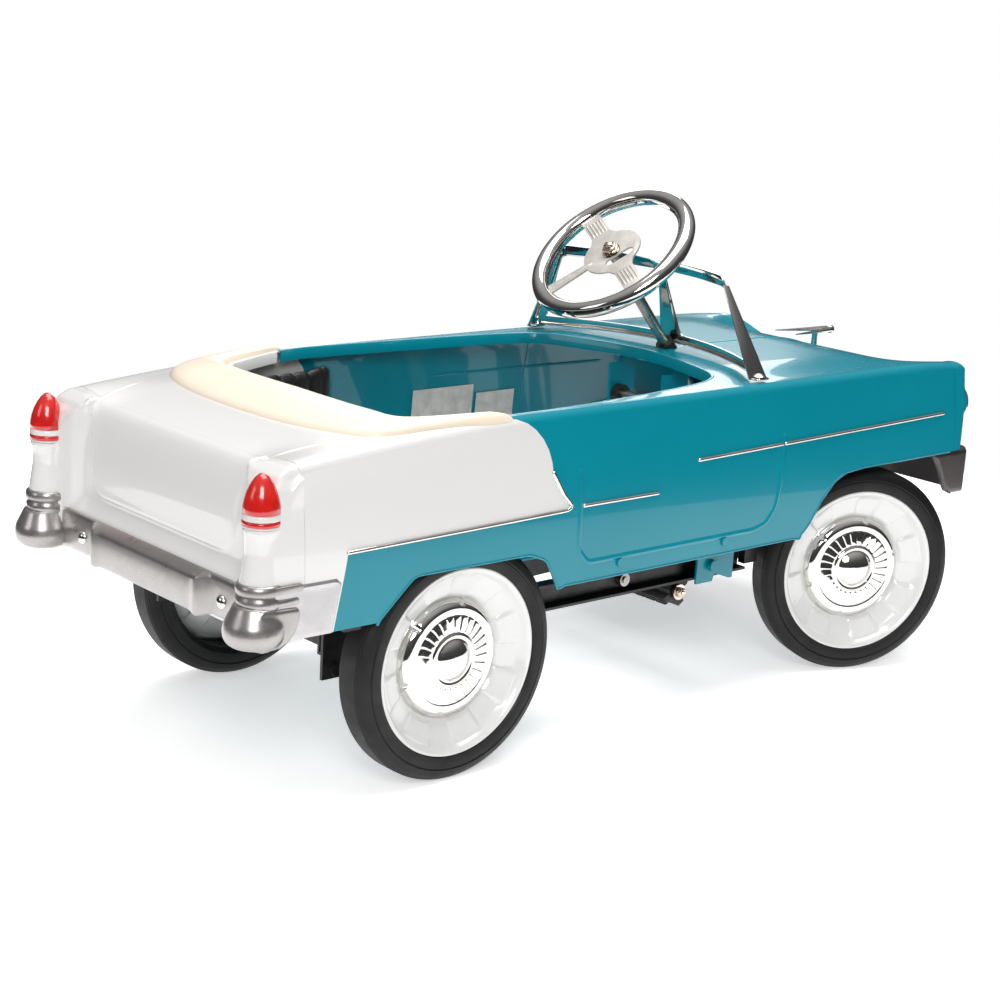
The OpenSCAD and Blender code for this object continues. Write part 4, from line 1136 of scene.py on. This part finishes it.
def build_front_bumper():
    """Soft-edged pressing with a top roll and a bulging face, wrapped round to the arches."""
    side = [(756.5, 261.6), (836, 261.8), (843, 261), (845, 258), (842, 254), (838.5, 251.5), (841, 249),
            (848, 243),
            (854, 234), (855.4, 224), (854, 214), (849, 208), (842, 206), (800, 206.6), (789, 211),
            (782, 221), (777, 232), (768, 247)]
    block = prism(side, -217, 217, "y")
    plan = [(740, -217), (826, -217), (842, -202), (850, -160), (855, -60), (855.8, 0)]
    plan += [(x, -y) for x, y in plan[-2::-1]] + [(740, 217)]
    boolean(block, prism(plan[:-1], 100, 400, "z"), "INTERSECT")
    voxel_blend(block, 2.2, 3)
    boolean(block, prism([(740, 196), (829, 196), (829, 257), (740, 257)], -213, 213, "y"))
    lips = []
    for hand in (1, -1):
        edge = [(757.5, 260), (768.4, 246.6), (777.6, 231.4), (782.6, 221), (789.6, 211.4), (800, 207.2)]
        lips.append(sweep([(x, hand * 217, z) for x, z in resample(edge, 4)], disc_section(1.3, 8)))
        lips.append(sweep([(797, hand * 217.1, z) for z in np.linspace(210, 259, 12)],
                          disc_section(0.9, 8)))
    block = join([block] + lips)
    # The dark silver on this pressing is the rear's silver paint with painted shade in its colour.
    piece(block, "front_bumper_pressing", SHADED_SILVER, stands_for=["front_bumper"], angle=50)


# ---------- pedals ----------
def star_outline():
    """Four ribbed lobes round a core."""
    lobe = [(11, -5), (20.2, -5), (21.4, -4.2), (21.4, -2.8), (20.2, -2.3), (20.2, -1.2), (21.4, -0.8),
            (21.4, 0.8), (20.2, 1.2), (20.2, 2.3), (21.4, 2.8), (21.4, 4.2), (20.2, 5), (11, 5), (9.2, 9.2)]
    outline = []
    for k in range(4):
        c, s = math.cos(math.pi / 4 + k * math.pi / 2), math.sin(math.pi / 4 + k * math.pi / 2)
        outline += [(u * c - v * s, u * s + v * c) for u, v in lobe]
    return outline


def build_pedal(side):
    """Ribbed block on its spindle, with the washer and nut that keep it there."""
    name = "left" if side > 0 else "right"
    low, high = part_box("pedal_" + name)
    centre = (low + high) / 2
    arm = centre - centre_of("pedal_pivot_rod")
    down = Vector((arm.x, 0, arm.z)).normalized()
    out = Vector((0, side, 0))
    at = axes_at(Vector((centre.x, 0, centre.z)), out.cross(down), down, out)
    inner, outer = sorted((abs(low.y) / MM, abs(high.y) / MM))
    star = star_outline()
    rings = [(inner, 0.94), (inner + 1.2, 1), (outer - 1.2, 1), (outer, 0.94)]
    for k in range(1, 5):
        y = inner + (outer - inner) * k / 5
        rings[-2:-2] = [(y - 1.4, 1), (y - 0.7, 0.965), (y + 0.7, 0.965), (y + 1.4, 1)]
    points = [(u * grow, v * grow, y) for y, grow in rings for u, v in star]
    block = raw_object("star", points, tube_faces(len(rings), len(star)), at)
    piece(block, name + "_pedal_block", PEDAL_RUBBER, name + "_pedal", ["pedal_" + name], 30)
    end = outer + 5
    washer = lathe([(0.01, end), (9.4, end), (9.8, end + 0.6), (9.4, end + 1.4), (0.01, end + 1.5)], 36, at)
    stud = lathe([(0.01, end + 8.4), (2.6, end + 8.2), (3.4, end + 7.4), (3.4, end + 2), (0.01, end + 2)],
                 20, at)
    nut = hex_nut(6.6, end + 1.4, end + 6.4, at)
    piece(join([washer, nut, stud]), name + "_pedal_nut", NUT_PLATE, name + "_lever",
          angle=35)


# ---------- soft trim ----------
SWELL_FRAMES = 20


def puff(obj, voxel, cap, pressure=4.0):
    """Swells a closed form under pressure, with how far a point may move capped."""
    remesh = obj.modifiers.new("cells", "REMESH")
    remesh.mode = "VOXEL"
    remesh.voxel_size = voxel * MM
    apply_modifiers(obj)
    before = [v.co.copy() for v in obj.data.vertices]
    cloth = obj.modifiers.new("swell", "CLOTH")
    cloth.settings.use_pressure = True
    cloth.settings.uniform_pressure_force = pressure
    cloth.settings.effector_weights.gravity = 0
    cloth.point_cache.frame_start = 1
    cloth.point_cache.frame_end = SWELL_FRAMES
    for frame_number in range(1, SWELL_FRAMES + 1):
        bpy.context.scene.frame_set(frame_number)
    apply_modifiers(obj)
    for vertex, start in zip(obj.data.vertices, before):
        step = vertex.co - start
        if step.length > cap * MM:
            vertex.co = start + step.normalized() * cap * MM
    bpy.context.scene.frame_set(1)
    subdivide(obj)
    return obj


def channels(obj, across, seams, depth, width, keep=None):
    """Sewn channels pressed into a pad where across(point) comes near a seam, inside optional limits."""
    moved = []
    for vertex in obj.data.vertices:
        x, y, z = vertex.co / MM
        x -= AXLE_X / MM
        near = min(abs(across(x, y, z) - seam) for seam in seams)
        place = vertex.co - vertex.normal * depth * math.exp(-(near / width) ** 2) * MM
        moved.append(place)
    for vertex, place in zip(obj.data.vertices, moved):
        if keep:
            low, high = keep
            place = Vector([min(max(c, a), b) for c, a, b in zip(place, low, high)])
        vertex.co = place
    return obj


def build_seats():
    """Channelled back rest with a wing on each side, and the crowned cushion."""
    low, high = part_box("seat_back")
    back = prism(rounded([(-161, 235, 8), (161, 235, 8), (161, 349, 14), (-161, 349, 14)]), -47, -38.5, "x")
    puff(back, 5, 5)
    seams = [(i + 0.5) * 22 for i in range(-7, 7)]
    channels(back, lambda x, y, z: y, seams, 3.2, 2.6, (low, Vector((AXLE_X - 0.0335, high.y, high.z))))
    piece(back, "seat_back_pad", BLACK_VINYL, stands_for=["seat_back"], angle=70)
    for side, name in ((1, "left"), (-1, "right")):
        wing = prism(rounded([(-27, 267, 6), (131, 267, 6), (134, 352, 16), (-27, 352, 8)]), side * -3.2,
                     side * 3.2, "y")
        puff(wing, 5, 3.5)
        channels(wing, lambda x, y, z: x, [-9.5 + 21 * i for i in range(7)], 2.4, 2.6)
        for vertex in wing.data.vertices:
            x = vertex.co.x / MM - AXLE_X / MM
            vertex.co.y += side * (184 + 1.6 * (x + 20) / 21) * MM
        piece(wing, name + "_seat_wing", BLACK_VINYL, angle=70)
    low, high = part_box("seat_cushion")
    outline = rounded([(-32, -153, 16), (193, -153, 20), (193, 153, 20), (-32, 153, 16)])
    cushion = puff(prism(outline, 207, 223, "z"), 6, 8)
    channels(cushion, lambda x, y, z: y if z > 212 else 999, [k * 40 - 140 for k in range(8)], 3.2, 3.4,
             (low, high))
    piece(cushion, "seat_cushion_pad", BLACK_VINYL, stands_for=["seat_cushion"], angle=70)


# ---------- carried-over frame nodes ----------
CARRIED = {
    "seat_pan": (TEAL, 0.6), "chassis_rails": (BLACK_STEEL, 1.0), "cross_members": (BLACK_STEEL, 0.8),
    "rail_brackets": (BLACK_STEEL, 0.8), "rear_axle_bearings": (BLACK_STEEL, 0.8),
    "front_axle_beam": (BLACK_STEEL, 0.8), "kingpins": (PLAIN_STEEL, 0.5), "rail_bolts": (PLAIN_STEEL, 0.5),
    "column_bush": (PEDAL_RUBBER, 0.4), "column_pedestal": (BLACK_STEEL, 0.6), "pedal_hangers": (TEAL, 0.6),
    "pedal_pivot_rod": (PLAIN_STEEL, 0.4), "body_screws": (TEAL, 0.3), "blank_labels": (LABEL, 0.2),
    "knuckle_left": (BLACK_STEEL, 0.6), "knuckle_right": (BLACK_STEEL, 0.6), "tie_rod": (BLACK_STEEL, 0.6),
    "steering_column": (PLAIN_STEEL, 0.4), "crank_axle": (PLAIN_STEEL, 0.5),
    "push_rod_left": (BLACK_STEEL, 0.5), "push_rod_right": (BLACK_STEEL, 0.5),
    "pedal_lever_left": (BLACK_STEEL, 0.5), "pedal_lever_right": (BLACK_STEEL, 0.5),
    "grille": (CHROME, 0.3),
}


def finish_frame_nodes():
    """Materials and softened edges for the frame nodes that stay in view."""
    for name, (material, edge) in CARRIED.items():
        obj = frame["nodes"][name]
        if obj.hide_render:
            continue
        obj.data.materials.clear()
        obj.data.materials.append(material)
        soften(obj, 32)
        if name == "rail_brackets":
            obj.data.materials.append(TEAL)
            for polygon in obj.data.polygons:
                polygon.material_index = int(polygon.center.x - AXLE_X > 0.3)
        if edge:
            modifier = obj.modifiers.new("edge", "BEVEL")
            modifier.width = edge * MM
            modifier.segments = 2
            modifier.limit_method = "ANGLE"
            modifier.angle_limit = math.radians(40)


# ---------- studio ----------
CAMERA_AT = Vector((-1.57063, -1.68388, 0.79809))
CAMERA_AZIMUTH = -41.97
CAMERA_ELEVATION = 14.34
CAMERA_ROLL = 3.364
CAMERA_LENS = 72.85


def build_camera():
    """Camera at the three-quarter rear view, a little rolled."""
    azimuth, elevation, roll = (math.radians(a) for a in (CAMERA_AZIMUTH, CAMERA_ELEVATION, CAMERA_ROLL))
    ahead = Vector((-math.sin(azimuth) * math.cos(elevation), math.cos(azimuth) * math.cos(elevation),
                    -math.sin(elevation)))
    right = ahead.cross(Vector((0, 0, 1))).normalized()
    up = right.cross(ahead)
    side = right * math.cos(roll) + up * math.sin(roll)
    top = up * math.cos(roll) - right * math.sin(roll)
    camera = bpy.data.objects.new("camera", bpy.data.cameras.new("camera"))
    camera.data.lens = CAMERA_LENS
    camera.data.sensor_width = 36
    camera.data.clip_end = 60
    camera.matrix_world = axes_at(CAMERA_AT, side, top, -ahead)
    bpy.context.scene.collection.objects.link(camera)
    bpy.context.scene.camera = camera


def area_light(name, place, target, size, power):
    data = bpy.data.lights.new(name, "AREA")
    data.shape = "RECTANGLE"
    data.size = size
    data.size_y = size
    data.energy = power
    light = bpy.data.objects.new(name, data)
    light.location = place
    light.rotation_euler = (Vector(target) - Vector(place)).to_track_quat("-Z", "Y").to_euler()
    bpy.context.scene.collection.objects.link(light)


def build_studio():
    """Round of pale paper, a room that reflects as a dim one but looks white, and four soft lights."""
    reach = 1.45
    mesh = bpy.data.meshes.new("floor")
    rim = [(reach * math.cos(a), reach * math.sin(a), 0)
           for a in np.linspace(0, 2 * math.pi, 96, endpoint=False)]
    mesh.from_pydata(rim, [], [tuple(range(96))])
    floor = bpy.data.objects.new("floor", mesh)
    bpy.context.scene.collection.objects.link(floor)
    material, tree, shader = blank_material("floor_paper")
    two_tone(tree, noise(tree, 0.6), (246, 246, 246), (249, 249, 249), shader.inputs["Base Color"])
    shader.inputs["Emission Color"].default_value = (1, 1, 1, 1)
    shader.inputs["Emission Strength"].default_value = 0.5
    shader.inputs["Roughness"].default_value = 0.9
    shader.inputs["Specular IOR Level"].default_value = 0.1
    mesh.materials.append(material)

    world = bpy.data.worlds.new("studio")
    bpy.context.scene.world = world
    world.use_nodes = True
    tree = world.node_tree
    room = tree.nodes["Background"]
    place = tree.nodes.new("ShaderNodeTexCoord")
    split = tree.nodes.new("ShaderNodeSeparateXYZ")
    ramp = tree.nodes.new("ShaderNodeValToRGB")
    stops = ramp.color_ramp.elements
    stops[0].position, stops[0].color = 0.0, (0.05, 0.05, 0.052, 1)
    stops[1].position, stops[1].color = 0.85, (0.5, 0.5, 0.5, 1)
    middle = stops.new(0.3)
    middle.color = (0.09, 0.09, 0.09, 1)
    tree.links.new(place.outputs["Generated"], split.inputs["Vector"])
    tree.links.new(split.outputs["Z"], ramp.inputs["Fac"])
    tree.links.new(ramp.outputs["Color"], room.inputs["Color"])
    paper = tree.nodes.new("ShaderNodeBackground")
    paper.inputs["Color"].default_value = (1, 1, 1, 1)
    seen = tree.nodes.new("ShaderNodeLightPath")
    mix = tree.nodes.new("ShaderNodeMixShader")
    tree.links.new(seen.outputs["Is Camera Ray"], mix.inputs["Fac"])
    tree.links.new(room.outputs["Background"], mix.inputs[1])
    tree.links.new(paper.outputs["Background"], mix.inputs[2])
    tree.links.new(mix.outputs["Shader"], tree.nodes["World Output"].inputs["Surface"])

    area_light("key_light", (-2.6, -3.0, 2.6), (0, 0, 0.25), 1.7, 88)
    area_light("top_light", (0.2, 0.0, 3.0), (0, 0, 0.2), 2.4, 82)
    area_light("far_light", (2.4, 2.6, 1.8), (0, 0, 0.3), 1.6, 26)
    area_light("rear_light", (-3.4, 0.8, 1.6), (-0.5, 0, 0.3), 1.2, 9)
    bpy.context.scene.view_settings.view_transform = "Standard"


def main():
    build_camera()
    build_studio()
    build_body()
    build_cockpit_lip()
    build_side_details()
    build_trims()
    build_tail()
    build_tail_lights()
    build_guards()
    build_rear_bumper()
    build_boot_cover()
    build_seats()
    build_windshield()
    build_ornament()
    build_nose()
    build_front_bumper()
    for side in (1, -1):
        for front in (False, True):
            build_wheel(side, front)
    for side in (1, -1):
        build_pedal(side)
    build_steering_wheel()
    finish_frame_nodes()


main()
